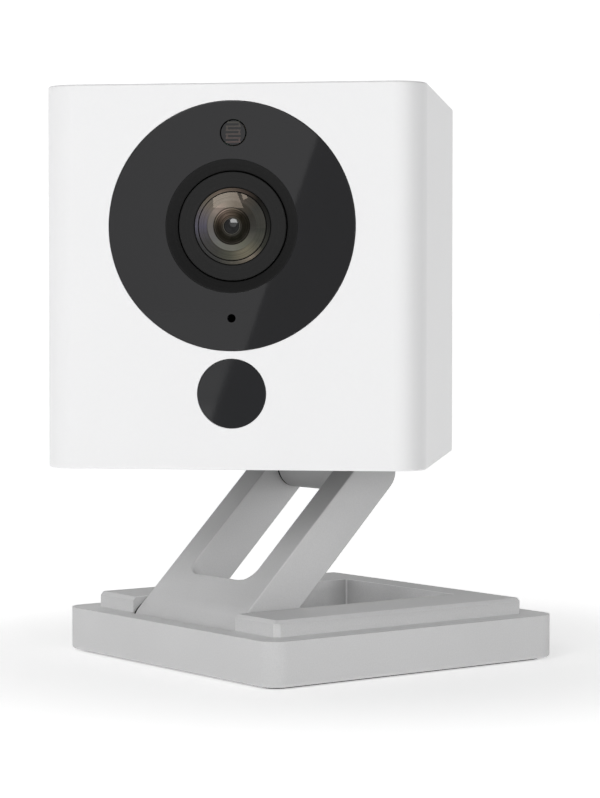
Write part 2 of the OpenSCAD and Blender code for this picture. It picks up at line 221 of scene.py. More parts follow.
def arm_tone(nt):
    """Painted shade, fitted to one studio view: darker up the front faces, lighter inside the slot."""
    tc = nt.nodes.new("ShaderNodeTexCoord")
    pos = nt.nodes.new("ShaderNodeSeparateXYZ")
    nt.links.new(_coords(nt), pos.inputs[0])
    nor = nt.nodes.new("ShaderNodeSeparateXYZ")
    nt.links.new(tc.outputs["Normal"], nor.inputs[0])
    z = pos.outputs["Z"]
    side = _steps(nt, z, 6, 28, [(8.0, 1.16), (10.0, 1.08), (12.5, 1.03), (16.0, 0.98), (20.0, 0.95), (23.0, 0.90), (24.8, 0.83), (26.5, 0.74)])
    inner = _steps(nt, z, 6, 28, [(12.0, 1.42), (16.0, 1.38), (20.0, 1.34), (22.5, 1.24), (24.5, 1.06), (26.5, 0.98)])
    front = _steps(nt, z, 6, 28, [(8.0, 1.08), (10.5, 1.05), (12.5, 0.96), (15.0, 0.90), (18.0, 0.82), (20.5, 0.76), (22.5, 0.69), (24.5, 0.60), (26.5, 0.52)])
    lean = _range(nt, pos.outputs["X"], -9.0, 9.0, 1.06, 0.90)
    low = _range(nt, z, 9.5, 13.0, 1.0, 0.0)
    lean = _blend(nt, low, lean, _math(nt, "ADD", 1.0, 0.0))
    front = _math(nt, "MULTIPLY", front, lean)
    foot = _range(nt, pos.outputs["X"], -11.0, 11.0, 1.0, 0.87)
    in_foot = _math(nt, "MULTIPLY", _range(nt, z, 8.0, 9.2, 0.0, 1.0), _range(nt, z, 10.5, 12.5, 1.0, 0.0))
    front = _math(nt, "MULTIPLY", front, _blend(nt, in_foot, _math(nt, "ADD", 1.0, 0.0), foot))
    across = _math(nt, "SUBTRACT", _math(nt, "MULTIPLY", _math(nt, "SUBTRACT", z, HINGE.z), math.cos(ARM_ANGLE)), _math(nt, "MULTIPLY", _math(nt, "SUBTRACT", pos.outputs["Y"], HINGE.y), math.sin(ARM_ANGLE)))
    inner = _math(nt, "MULTIPLY", inner, _range(nt, across, -3.0, 3.0, 1.0, 0.83))
    is_side = _range(nt, _math(nt, "ABSOLUTE", nor.outputs["X"]), 0.5, 0.8, 0, 1)
    is_in = _range(nt, _math(nt, "ABSOLUTE", pos.outputs["X"]), 7.5, 7.8, 1, 0)
    is_front = _range(nt, _math(nt, "MULTIPLY", nor.outputs["Y"], -1.0), 0.1, 0.5, 0, 1)
    return _blend(nt, is_side, _blend(nt, is_front, side, front), _blend(nt, is_in, side, inner))


def head_tone(nt):
    """Painted shade, fitted to one studio view: full on the front, lower round the corner and on the sides."""
    tc = nt.nodes.new("ShaderNodeTexCoord")
    f, s = nt.nodes.new("ShaderNodeVectorMath"), nt.nodes.new("ShaderNodeVectorMath")
    for n, v in ((f, (0.70710678, -0.70710678, 0.0)), (s, (0.70710678, 0.70710678, 0.0))):
        n.operation = "DOT_PRODUCT"
        nt.links.new(tc.outputs["Normal"], n.inputs[0])
        n.inputs[1].default_value = v
    turn = _math(nt, "ARCTAN2", _math(nt, "ABSOLUTE", s.outputs["Value"]), f.outputs["Value"])
    deg = _math(nt, "MULTIPLY", turn, 57.29578)
    tone = _steps(nt, deg, 0, 180, [(0, 0.975), (10, 0.957), (20, 0.920), (30, 0.868), (40, 0.815), (50, 0.795), (60, 0.800), (70, 0.835), (80, 0.868), (90, 0.885), (130, 0.890), (180, 1.0)])
    soft = _steps(nt, deg, 0, 180, [(0, 0.975), (40, 0.965), (90, 0.960), (180, 1.0)])
    tone = _blend(nt, _range(nt, s.outputs["Value"], -0.03, 0.03, 0, 1), soft, tone)
    pos = nt.nodes.new("ShaderNodeSeparateXYZ")
    nt.links.new(_coords(nt), pos.inputs[0])
    high = _range(nt, pos.outputs["Z"], HEAD.z - 22.0, HEAD.z + 25.0, 1.0, 0.972)
    flat = nt.nodes.new("ShaderNodeSeparateXYZ")
    nt.links.new(tc.outputs["Normal"], flat.inputs[0])
    level = _range(nt, _math(nt, "ABSOLUTE", flat.outputs["Z"]), 0.3, 0.9, 0.0, 1.0)
    return _blend(nt, level, _math(nt, "MULTIPLY", tone, high), _math(nt, "ADD", 1.0, 0.0))


def step_tone(nt):
    """Painted shade, fitted to one studio view: the step's faces come out even from the ledge up to the chamfer."""
    pos = nt.nodes.new("ShaderNodeSeparateXYZ")
    nt.links.new(_coords(nt), pos.inputs[0])
    top = nbox("base_shell")[1].z
    return _steps(nt, pos.outputs["Z"], top - 2.6, top, [(top - 2.4, 1.16), (top - 2.0, 1.09), (top - 1.4, 1.01), (top - 0.9, 0.945), (top - 0.45, 0.885)])


def well_tone(nt):
    """Painted shade, fitted to one studio view: darker into the back corners, lighter along the back wall."""
    tc = nt.nodes.new("ShaderNodeTexCoord")
    pos = nt.nodes.new("ShaderNodeSeparateXYZ")
    nt.links.new(_coords(nt), pos.inputs[0])
    nor = nt.nodes.new("ShaderNodeSeparateXYZ")
    nt.links.new(tc.outputs["Normal"], nor.inputs[0])
    deep = _math(nt, "SUBTRACT", 16.65, pos.outputs["Y"])
    long_wall = _steps(nt, deep, 0, 40, [(0.2, 0.70), (1.2, 0.81), (2.4, 0.93), (3.8, 1.08), (30.0, 1.08), (35.0, 0.82), (38.0, 0.76)])
    side = _math(nt, "SUBTRACT", 12.3, _math(nt, "ABSOLUTE", pos.outputs["X"]))
    back_wall = _steps(nt, side, 0, 24, [(0.2, 0.88), (2.0, 0.98), (4.5, 1.06), (8.0, 1.08), (17.0, 0.99), (24.0, 0.99)])
    is_long = _range(nt, _math(nt, "ABSOLUTE", nor.outputs["X"]), 0.4, 0.6, 0, 1)
    return _blend(nt, is_long, back_wall, long_wall)


def gloss_black(name, col, rough=0.05, ior=1.5, smudge=0.03):
    """Polished black moulding with the faint haze of handling."""
    m, nt, b = _mat(name)
    v = _coords(nt)
    big = _noise(nt, v, 0.11, 4, 0.6)
    fine = _noise(nt, v, 3.0, 2)
    nt.links.new(_ramp(nt, big, 0.3, 0.7, tuple(c * 0.9 for c in col), tuple(c * 1.1 for c in col)), b.inputs["Base Color"])
    nt.links.new(_range(nt, big, 0.3, 0.75, rough, rough + smudge), b.inputs["Roughness"])
    b.inputs["IOR"].default_value = ior
    _bump(nt, b, fine, 0.02, 0.01 * MM)
    return m


def metal(name, col, rough, scratch=(0.4, 0.4, 8.0), bump=0.1):
    m, nt, b = _mat(name)
    tc = nt.nodes.new("ShaderNodeTexCoord")
    mp = nt.nodes.new("ShaderNodeMapping")
    mp.inputs["Scale"].default_value = tuple(1000 * s for s in scratch)
    nt.links.new(tc.outputs["Object"], mp.inputs["Vector"])
    n = _noise(nt, mp.outputs["Vector"], 1.0, 5, 0.7)
    nt.links.new(_ramp(nt, n, 0.25, 0.75, tuple(c * 0.85 for c in col), col), b.inputs["Base Color"])
    nt.links.new(_range(nt, n, 0.3, 0.7, rough - 0.08, rough + 0.08), b.inputs["Roughness"])
    b.inputs["Metallic"].default_value = 1.0
    _bump(nt, b, n, bump, 0.02 * MM)
    return m


def glass_coat(name, tint, alpha, rough, ior, spec=(1, 1, 1)):
    """Coated glass: see-through, with a tinted reflection."""
    m, nt, b = _mat(name)
    v = _coords(nt)
    n = _noise(nt, v, 0.5, 2)
    nt.links.new(_ramp(nt, n, 0.3, 0.7, tuple(c * 0.9 for c in tint), tint), b.inputs["Base Color"])
    b.inputs["Roughness"].default_value = rough
    b.inputs["IOR"].default_value = ior
    b.inputs["Alpha"].default_value = alpha
    b.inputs["Specular Tint"].default_value = (*spec, 1)
    return m


def ringed(name, stops, rmax, rough=0.5, ior=1.45, fine=0.04, bump=0.15, angular=None, gloss=0.5, tint=(1, 1, 1)):
    """Turned and blacked lens metal: colour set by the distance from the lens axis, with fine turned rings.
    stops is [(radius mm, colour)]; angular is [(degrees from +X towards +Z, colour)], multiplied in as painted light
    and reflection around the axis."""
    m, nt, b = _mat(name)
    tc = nt.nodes.new("ShaderNodeTexCoord")
    sub = nt.nodes.new("ShaderNodeVectorMath")
    sub.operation = "SUBTRACT"
    axis_pt = (M_HEAD @ Vector((0, 0, LENS_Z))) * MM
    sub.inputs[1].default_value = axis_pt
    nt.links.new(tc.outputs["Object"], sub.inputs[0])
    rot = nt.nodes.new("ShaderNodeMapping")
    rot.vector_type = "POINT"
    rot.inputs["Rotation"].default_value = (0, 0, -YAW)
    rot.inputs["Scale"].default_value = (1000, 1000, 1000)
    nt.links.new(sub.outputs[0], rot.inputs["Vector"])
    sep = nt.nodes.new("ShaderNodeSeparateXYZ")
    nt.links.new(rot.outputs[0], sep.inputs[0])
    com = nt.nodes.new("ShaderNodeCombineXYZ")
    nt.links.new(sep.outputs["X"], com.inputs["X"])
    nt.links.new(sep.outputs["Z"], com.inputs["Y"])
    ln = nt.nodes.new("ShaderNodeVectorMath")
    ln.operation = "LENGTH"
    nt.links.new(com.outputs[0], ln.inputs[0])
    fac = _range(nt, ln.outputs["Value"], 0, rmax, 0, 1)
    r = nt.nodes.new("ShaderNodeValToRGB")
    r.color_ramp.interpolation = "LINEAR"
    el = r.color_ramp.elements
    while len(el) > 1:
        el.remove(el[-1])
    el[0].position = stops[0][0] / rmax
    el[0].color = (*stops[0][1], 1)
    for rad, c in stops[1:]:
        e = el.new(rad / rmax)
        e.color = (*c, 1)
    nt.links.new(fac, r.inputs["Fac"])
    # turned rings
    rings = nt.nodes.new("ShaderNodeTexNoise")
    rings.noise_dimensions = "1D"
    rings.inputs["Scale"].default_value = 7.0
    rings.inputs["Detail"].default_value = 3.0
    nt.links.new(ln.outputs["Value"], rings.inputs["W"])
    mul = nt.nodes.new("ShaderNodeMix")
    mul.data_type = "RGBA"
    mul.blend_type = "MULTIPLY"
    mul.inputs["Factor"].default_value = 1.0
    nt.links.new(r.outputs["Color"], mul.inputs[6])
    g = _ramp(nt, rings.outputs["Fac"], 0.25, 0.75, (1 - fine * 4,) * 3, (1 + fine,) * 3)
    nt.links.new(g, mul.inputs[7])
    out = mul.outputs[2]
    if angular:
        # painted light and reflection: the colour changes around the axis
        ang = nt.nodes.new("ShaderNodeMath")
        ang.operation = "ARCTAN2"
        nt.links.new(sep.outputs["Z"], ang.inputs[0])
        nt.links.new(sep.outputs["X"], ang.inputs[1])
        fa = _range(nt, ang.outputs[0], -math.pi, math.pi, 0, 1)
        ar = nt.nodes.new("ShaderNodeValToRGB")
        el = ar.color_ramp.elements
        while len(el) > 1:
            el.remove(el[-1])
        el[0].position = (angular[0][0] + 180) / 360
        el[0].color = (*angular[0][1], 1)
        for a, c in angular[1:]:
            e = el.new((a + 180) / 360)
            e.color = (*c, 1)
        nt.links.new(fa, ar.inputs["Fac"])
        m2 = nt.nodes.new("ShaderNodeMix")
        m2.data_type = "RGBA"
        m2.blend_type = "MULTIPLY"
        m2.inputs["Factor"].default_value = 1.0
        nt.links.new(out, m2.inputs[6])
        nt.links.new(ar.outputs["Color"], m2.inputs[7])
        out = m2.outputs[2]
    nt.links.new(out, b.inputs["Base Color"])
    b.inputs["Roughness"].default_value = rough
    b.inputs["IOR"].default_value = ior
    b.inputs["Specular IOR Level"].default_value = gloss
    b.inputs["Specular Tint"].default_value = (*tint, 1)
    _bump(nt, b, rings.outputs["Fac"], bump, 0.02 * MM)
    return m


WHITE = toned(moulded("white_plastic", (0.86, 0.86, 0.865), 0.008, 2.2, 0.42, 0.10, 0.02), head_tone)
GREY = moulded("grey_plastic", (0.585, 0.585, 0.587), 0.07, 5.0, 0.55, 0.30, 0.02)
ARM_GREY = toned(moulded("grey_plastic_arm", (0.575, 0.575, 0.577), 0.07, 5.0, 0.55, 0.30, 0.02), arm_tone)
# darker copy of the grey: painted shade on the knuckle, which sits in the head's shade
KNUCKLE_GREY_PAINTED_SHADE = moulded("grey_plastic_knuckle_painted_shade", (0.365, 0.365, 0.366), 0.07, 5.0, 0.55, 0.30, 0.02)
# copies of the grey for the base, set face by face in make_base: painted light, shade and highlight
STEP_GREY_PAINTED_SHADING = toned(moulded("grey_plastic_step_painted_shading", (0.665, 0.665, 0.667), 0.07, 5.0, 0.55, 0.30, 0.02), step_tone)
WELL_GREY_PAINTED_SHADING = toned(moulded("grey_plastic_well_painted_shading", (0.79, 0.79, 0.792), 0.07, 5.0, 0.55, 0.30, 0.02), well_tone)
FACET_GREY_PAINTED_HIGHLIGHT = toned(moulded("grey_plastic_facet_painted_highlight", (0.705, 0.705, 0.707), 0.07, 5.0, 0.55, 0.30, 0.02), step_tone)
CHAMFER_GREY_PAINTED_LIGHT = moulded("grey_plastic_chamfer_painted_light", (0.645, 0.645, 0.647), 0.07, 5.0, 0.55, 0.30, 0.02)
LEDGE_GREY_PAINTED_LIGHT = moulded("grey_plastic_ledge_painted_light", (0.680, 0.680, 0.682), 0.07, 5.0, 0.55, 0.30, 0.02)
RIM_GREY_PAINTED_LIGHT = moulded("grey_plastic_rim_painted_light", (0.88, 0.88, 0.882), 0.05, 5.0, 0.50, 0.30, 0.02)
DARK = moulded("dark_plastic", (0.018, 0.018, 0.0185), 0.15, 2.5, 0.6, 0.2, 0.03)
BEZEL = gloss_black("bezel_black", (0.0039, 0.0039, 0.0051), 0.018, 1.5, 0.012)
PIRBLACK = gloss_black("pir_black", (0.0030, 0.0034, 0.0049), 0.03, 1.5, 0.015)
RUBBER = moulded("rubber", (0.03, 0.03, 0.031), 0.2, 1.8, 0.75, 0.4, 0.05)
STEEL = metal("steel", (0.6, 0.61, 0.63), 0.3)
BRASS = metal("brass", (0.75, 0.58, 0.28), 0.28)
COPPER = metal("copper_winding", (0.8, 0.4, 0.2), 0.35, (0.3, 0.3, 12))
ALU = metal("aluminium", (0.72, 0.73, 0.75), 0.35, (0.4, 6, 0.4))
BOARD = moulded("board", (0.03, 0.13, 0.07), 0.25, 0.9, 0.35, 0.2, 0.02)
# near-black that reflects almost nothing: painted shade for gaps and holes that should read dark
DEEP_SHADE_BLACK = moulded("deep_shade_black", (0.0015, 0.0015, 0.0015), 0.1, 2.0, 0.9, 0.1, 0.01, ior=1.05)
INNERGLASS = glass_coat("inner_glass", (0.03, 0.03, 0.035), 0.35, 0.03, 2.2, (0.95, 0.9, 1.0))
SMOKED = glass_coat("smoked_window", (0.008, 0.008, 0.008), 0.5, 0.02, 1.78)
CLEAR = glass_coat("clear_resin", (0.7, 0.72, 0.75), 0.6, 0.1, 1.5)
LEDRESIN = moulded("led_resin", (0.7, 0.7, 0.72), 0.05, 1.0, 0.15, 0.05, 0.01)
FLEX = moulded("flex", (0.5, 0.25, 0.06), 0.1, 1.0, 0.3, 0.1, 0.01)
BUTTON = moulded("button_plastic", (0.62, 0.62, 0.63), 0.03, 2.4, 0.4, 0.2, 0.03)
SENSORDIE = gloss_black("sensor_die", (0.02, 0.025, 0.035), 0.1)


# ---------------------------------------------------------------- mesh code
def arc(cx, cy, r, a0, a1, n):
    return [(cx + r * math.cos(a0 + (a1 - a0) * i / n), cy + r * math.sin(a0 + (a1 - a0) * i / n)) for i in range(n + 1)]


def rr(w, d, r, n=14, cx=0.0, cy=0.0):
    """Rounded rectangle: a function of the inset that gives a loop of points, anticlockwise."""
    def at(o):
        W, D = w / 2 - o, d / 2 - o
        R = max(r - o, 0.02)
        p = []
        for sx, sy, a in ((1, 1, 0), (-1, 1, 90), (-1, -1, 180), (1, -1, 270)):
            p += arc(cx + sx * (W - R), cy + sy * (D - R), R, math.radians(a), math.radians(a + 90), n)
        return p
    return at


def circ(r, n=96, cx=0.0, cy=0.0):
    def at(o):
        return [(cx + (r - o) * math.cos(2 * math.pi * i / n), cy + (r - o) * math.sin(2 * math.pi * i / n)) for i in range(n)]
    return at


def edge_levels(z0, z1, f0, f1, n=4):
    """(z, inset) pairs of a wall with rounded edges at both ends."""
    lv = []
    if f0 > 0:
        lv += [(z0 + f0 * (1 - math.cos(t)), f0 * (1 - math.sin(t))) for t in (math.pi / 2 * i / n for i in range(n))]
    lv.append((z0 + f0, 0.0))
    if z1 - f1 > z0 + f0 + 1e-6:
        lv.append((z1 - f1, 0.0))
    if f1 > 0:
        lv += [(z1 - f1 * (1 - math.sin(t)), f1 * (1 - math.cos(t))) for t in (math.pi / 2 * i / n for i in range(1, n + 1))]
    return lv


def wall_rings(bm, loop, levels, hole=False):
    rings = []
    for z, o in levels:
        rings.append([bm.verts.new((x, y, z)) for x, y in loop(-o if hole else o)])
    k = len(rings[0])
    for a, b in zip(rings, rings[1:]):
        for i in range(k):
            j = (i + 1) % k
            f = (a[i], a[j], b[j], b[i]) if not hole else (a[j], a[i], b[i], b[j])
            bm.faces.new(f)
    return rings


def cap(bm, rings, up):
    """Closes the end of a wall, and its holes, with one flat face or a triangle fill."""
    if len(rings) == 1:
        f = bm.faces.new(rings[0] if up else list(reversed(rings[0])))
        return [f]
    edges = []
    for ring in rings:
        k = len(ring)
        for i in range(k):
            e = bm.edges.get((ring[i], ring[(i + 1) % k]))
            edges.append(e)
    res = bmesh.ops.triangle_fill(bm, use_beauty=True, use_dissolve=False, edges=edges)
    faces = [g for g in res["geom"] if isinstance(g, bmesh.types.BMFace)]
    for f in faces:
        f.normal_update()
        if (f.normal.z > 0) != up:
            f.normal_flip()
    return faces


def prism(outer, z0, z1, f0=0.0, f1=0.0, holes=(), n=4):
    """A plate or block with rounded rims. holes is [(loop, f0, f1)]."""
    bm = bmesh.new()
    ro = wall_rings(bm, outer, edge_levels(z0, z1, f0, f1, n))
    rh = [wall_rings(bm, h, edge_levels(z0, z1, a, b, n), True) for h, a, b in holes]
    cap(bm, [ro[0]] + [r[0] for r in rh], False)
    cap(bm, [ro[-1]] + [r[-1] for r in rh], True)
    return bm


def flared(outer, z0, z1, f, top=True, bottom=False, over=1.0, n=5):
    """A cutter whose mouth opens with radius f, so that the cut's rim is rounded.
    The mouths lie at z1 (top) and z0 (bottom); it runs on by `over` past a mouth."""
    lv = []
    if bottom:
        lv.append((z0 - over, -f))
        lv += [(z0 + f * (1 - math.cos(t)), -f * (1 - math.sin(t))) for t in (math.pi / 2 * i / n for i in range(n + 1))]
    else:
        lv.append((z0, 0.0))
    if top:
        lv += [(z1 - f * (1 - math.sin(t)), -f * (1 - math.cos(t))) for t in (math.pi / 2 * i / n for i in range(n + 1))]
        lv.append((z1 + over, -f))
    else:
        lv.append((z1, 0.0))
    bm = bmesh.new()
    r = wall_rings(bm, outer, lv)
    cap(bm, [r[0]], False)
    cap(bm, [r[-1]], True)
    return bm


def lathe(profile, n=128, closed=True):
    """Body of revolution about local Z: profile is [(radius, z)] anticlockwise in the (r, z) plane."""
    bm = bmesh.new()
    rings = []
    for r, z in profile:
        if r < 1e-6:
            rings.append([bm.verts.new((0, 0, z))])
        else:
            rings.append([bm.verts.new((r * math.cos(2 * math.pi * i / n), r * math.sin(2 * math.pi * i / n), z)) for i in range(n)])
    pairs = list(zip(rings, rings[1:]))
    if closed:
        pairs.append((rings[-1], rings[0]))
    for a, b in pairs:
        if len(a) == 1 and len(b) == 1:
            continue
        for i in range(n):
            j = (i + 1) % n
            if len(a) == 1:
                bm.faces.new((a[0], b[j], b[i]))
            elif len(b) == 1:
                bm.faces.new((a[i], a[j], b[0]))
            else:
                bm.faces.new((a[i], a[j], b[j], b[i]))
    bmesh.ops.recalc_face_normals(bm, faces=bm.faces)
    return bm


def round_profile(points, fil, n=4):
    """Rounds the corners of a closed (r, z) profile. fil is one radius or one per corner."""
    k = len(points)
    out = []
    for i in range(k):
        p0, p1, p2 = Vector(points[i - 1]), Vector(points[i]), Vector(points[(i + 1) % k])
        r = fil[i] if isinstance(fil, (list, tuple)) else fil
        a, b = (p0 - p1), (p2 - p1)
        if r <= 0 or a.length < 1e-9 or b.length < 1e-9:
            out.append(tuple(p1))
            continue
        a.normalize(), b.normalize()
        ang = a.angle(b)
        t = min(r / math.tan(ang / 2), 0.49 * min((p0 - p1).length, (p2 - p1).length))
        rr_ = t * math.tan(ang / 2)
        s, e = p1 + a * t, p1 + b * t
        bis = (a + b).normalized()
        c = p1 + bis * (rr_ / math.sin(ang / 2))
        v0, v1 = s - c, e - c
        tot = v0.angle(v1)
        sign = 1 if v0.x * v1.y - v0.y * v1.x > 0 else -1
        for q in range(n + 1):
            th = sign * tot * q / n
            out.append((c.x + v0.x * math.cos(th) - v0.y * math.sin(th), c.y + v0.x * math.sin(th) + v0.y * math.cos(th)))
    return out


def to_object(bm, name, matrix, recalc=True):
    if recalc:
        bmesh.ops.recalc_face_normals(bm, faces=bm.faces)
    me = bpy.data.meshes.new(name)
    bm.to_mesh(me)
    bm.free()
    me.transform(Matrix.Diagonal((MM, MM, MM, 1)) @ matrix)
    o = bpy.data.objects.new(name, me)
    scene.collection.objects.link(o)
    return o


def boolean(obj, cutter, op="DIFFERENCE"):
    mod = obj.modifiers.new("cut", "BOOLEAN")
    mod.operation = op
    mod.solver = "EXACT"
    mod.object = cutter
    dg = bpy.context.evaluated_depsgraph_get()
    me = bpy.data.meshes.new_from_object(obj.evaluated_get(dg))
    obj.modifiers.clear()
    old = obj.data
    obj.data = me
    bpy.data.meshes.remove(old)
    bpy.data.objects.remove(cutter)
    return obj


def clean(obj, angle=0.5):
    bm = bmesh.new()
    bm.from_mesh(obj.data)
    bmesh.ops.remove_doubles(bm, verts=bm.verts, dist=1e-6)
    bmesh.ops.dissolve_degenerate(bm, edges=bm.edges, dist=1e-6)
    bm.to_mesh(obj.data)
    bm.free()


def shade(obj, wide=0.55, limit=42):
    """Gives flat faces their own exact normal, and lets rims and curved walls blend into them."""
    me = obj.data
    polys = me.polygons
    n = len(polys)
    nor = [p.normal.copy() for p in polys]
    area = [p.area for p in polys]
    by_edge = {}
    for p in polys:
        for k in p.edge_keys:
            by_edge.setdefault(k, []).append(p.index)
    root = list(range(n))

    def find(i):
        while root[i] != i:
            root[i] = root[root[i]]
            i = root[i]
        return i

    for fs in by_edge.values():
        if len(fs) == 2 and nor[fs[0]].dot(nor[fs[1]]) > 0.9999990:
            root[find(fs[0])] = find(fs[1])
    size, rim = {}, {}
    for i in range(n):
        g = find(i)
        size[g] = size.get(g, 0.0) + area[i]
    co = me.vertices
    for k, fs in by_edge.items():
        gs = {find(f) for f in fs}
        if len(gs) > 1 or len(fs) == 1:
            length = (co[k[0]].co - co[k[1]].co).length
            for g in gs:
                rim[g] = rim.get(g, 0.0) + length
    flat = [size[find(i)] * 2 > wide * MM * max(rim.get(find(i), 0.0), 1e-9) for i in range(n)]
    around = {}
    for p in polys:
        for v in p.vertices:
            around.setdefault(v, []).append(p.index)
    cosl = math.cos(math.radians(limit))
    out = [Vector((0, 0, 1))] * len(me.loops)
    for p in polys:
        f = p.index
        for li, v in zip(p.loop_indices, p.vertices):
            if flat[f]:
                out[li] = nor[f]
                continue
            near = [g for g in around[v] if nor[g].dot(nor[f]) > cosl]
            planes = {find(g): nor[g] for g in near if flat[g]}
            total = Vector((0, 0, 0))
            if planes:
                for q in planes.values():
                    total += q
            else:
                for g in near:
                    total += nor[g] * area[g]
            out[li] = total.normalized() if total.length > 0 else nor[f]
    for p in polys:
        p.use_smooth = True
    me.normals_split_custom_set(out)


def apply_bevel(obj, width, angle):
    bv = obj.modifiers.new("edge", "BEVEL")
    bv.width = width * MM
    bv.segments = 3
    bv.limit_method = "ANGLE"
    bv.angle_limit = math.radians(angle)
    bv.use_clamp_overlap = True
    dg = bpy.context.evaluated_depsgraph_get()
    me = bpy.data.meshes.new_from_object(obj.evaluated_get(dg))
    obj.modifiers.clear()
    old = obj.data
    obj.data = me
    bpy.data.meshes.remove(old)


def finish_piece(obj, body, mat, replaces=(), bevel=0.0, bevel_angle=50, limit=42):
    if bevel > 0:
        apply_bevel(obj, bevel, bevel_angle)
    obj.data.materials.clear()
    obj.data.materials.append(mat)
    for p in obj.data.polygons:
        p.material_index = 0
    shade(obj, limit=limit)
    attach(obj, body)
    if replaces:
        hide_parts(*replaces)
    return obj


# ---------------------------------------------------------------- base
def make_base():
    w = nbox("base_shell")
    top, width = w[1].z, w[1].x - w[0].x
    slab_top = top - 2.2
    bm = prism(rr(width, width, 2.75, 18), 0.3, slab_top, 0.5, 0.10, n=5)
    base = to_object(bm, "base_shell_visual", M_ROW)
    # upper step, with a small chamfer around its top
    step = rr(43.1, 43.1, 0.7, 1)
    c = 0.48
    lv = [(3.0, 0.0), (top - c - 0.02, 0.0), (top - c + 0.02, 0.02), (top - 0.03, c - 0.03), (top, c + 0.03)]
    b2 = bmesh.new()
    r = wall_rings(b2, step, lv)
    cap(b2, [r[0]], False)
    cap(b2, [r[-1]], True)
    boolean(base, to_object(b2, "c", M_ROW), "UNION")
    well = flared(rr(24.6, 38.75, 0.2, 3, 0, -2.725), -1.0, top, 0.15, True, False, n=2)
    boolean(base, to_object(well, "c", M_ROW))
    pocket = prism(rr(47.6, 47.6, 2.2, 8), -1.0, 1.0)
    boolean(base, to_object(pocket, "c", M_ROW))
    clean(base)
    finish_piece(base, "base", GREY, ["base_shell"], bevel=0.06)
    # lighter and darker copies of the grey, as painted light and shade: the step's upright faces, the well's walls, the
    # step's chamfer, the ledge beside the step and the well's rim, with a painted highlight on the step's corner facets
    for m in (STEP_GREY_PAINTED_SHADING, WELL_GREY_PAINTED_SHADING, CHAMFER_GREY_PAINTED_LIGHT, LEDGE_GREY_PAINTED_LIGHT, RIM_GREY_PAINTED_LIGHT, FACET_GREY_PAINTED_HIGHLIGHT):
        base.data.materials.append(m)
    for p in base.data.polygons:
        q = [base.data.vertices[i].co / MM for i in p.vertices]
        c = sum(q, Vector()) / len(q)
        inside = abs(c.x) < 12.5 and -21.9 < c.y < 16.85
        if p.normal.z > 0.95:
            if abs(c.z - slab_top) < 0.05:
                p.material_index = 4
            continue
        if abs(p.normal.z) > 0.4:
            if c.z > top - 0.6:
                p.material_index = 5 if inside else 3
            continue
        if inside and max(v.z for v in q) > slab_top:
            turned = min(abs(p.normal.x), abs(p.normal.y)) > 0.2
            p.material_index = 5 if turned and c.y > 0 else 2
        elif min(v.z for v in q) > slab_top - 0.02:
            p.material_index = 6 if min(abs(p.normal.x), abs(p.normal.y)) > 0.5 else 1

    pad = prism(rr(47.2, 47.2, 2.0, 12), 0.0, 0.5, 0.12, 0.0, n=3)
    finish_piece(to_object(pad, "foot_pad_visual", M_ROW), "base", RUBBER, ["foot_pad"])
    # thin washers between the arm's feet and the walls they turn against, near-black as painted shade in the gap
    w0, w1 = nbox("fold_washers")[1].x - 0.15, nbox("fold_washers")[1].x
    for s in (1, -1):
        wa = lathe(round_profile([(3.12, 0.0), (3.12, w1 - w0), (1.3, w1 - w0), (1.3, 0.0)], 0.02, 2), 96)
        o = to_object(wa, "fold_washer_" + ("a" if s > 0 else "b"), Matrix.Translation(HINGE) @ X_UP @ Matrix.Translation((0, 0, w0 if s > 0 else -w1)))
        finish_piece(o, "base", DEEP_SHADE_BLACK, ["fold_washers"])


# ---------------------------------------------------------------- arm
def make_arm():
    half = nbox("arm_frame")[1].x
    L = ARM_LEN
    outline = rr(L + 6.4, 6.4, 3.2, 18, L / 2, 0)
    bm = prism(outline, -half, half, 0.28, 0.28, n=4)
    # profile (along, across) extruded along X: local (x, y, z) -> (z, x, y)
    m = Matrix(((0, 0, 1, 0), (1, 0, 0, 0), (0, 1, 0, 0), (0, 0, 0, 1)))
    arm = to_object(bm, "arm_visual", M_ARM @ m)
    slot = flared(rr(14.8, 80.0, 2.4, 14, 0, 7.25 + 40), -3.2, 3.2, 0.3, True, True)
    boolean(arm, to_object(slot, "c", M_ARM))
    pin = prism(circ(1.3, 48), -half - 1, half + 1)
    boolean(arm, to_object(pin, "c", M_ARM @ X_UP))
    clean(arm)
    finish_piece(arm, "arm", ARM_GREY, ["arm_frame"], bevel=0.0)
    for s in (1, -1):
        x0, x1 = (7.15, 10.95) if s > 0 else (-10.95, -7.15)
        prof = [(1.3, 0.0), (2.8, 0.0), (2.8, 0.24), (2.0, 0.24), (2.0, 3.8), (1.3, 3.8)]
        b = lathe(round_profile(prof, 0.04, 2), 64)
        mt = M_ARM @ Matrix.Translation((0, L, 0)) @ X_UP @ Matrix.Translation((0, 0, 7.15))
        if s < 0:
            mt = M_ARM @ Matrix.Translation((0, L, 0)) @ Matrix.Rotation(math.radians(-90), 4, "Y") @ Matrix.Translation((0, 0, 7.15))
        o = to_object(b, "tilt_bushing_" + ("a" if s > 0 else "b"), mt)
        finish_piece(o, "arm", BRASS, ["tilt_bushings"])
    pin = prism(circ(1.25, 64), -10.8, 10.8, 0.15, 0.15)
    finish_piece(to_object(pin, "tilt_pin_visual", M_TILT @ X_UP), "swivel", STEEL, ["tilt_pin"])
    pin = prism(circ(1.25, 64), -15.7, 15.7, 0.15, 0.15)
    finish_piece(to_object(pin, "fold_pin_visual", Matrix.Translation(HINGE) @ X_UP), "base", STEEL, ["fold_pin"])


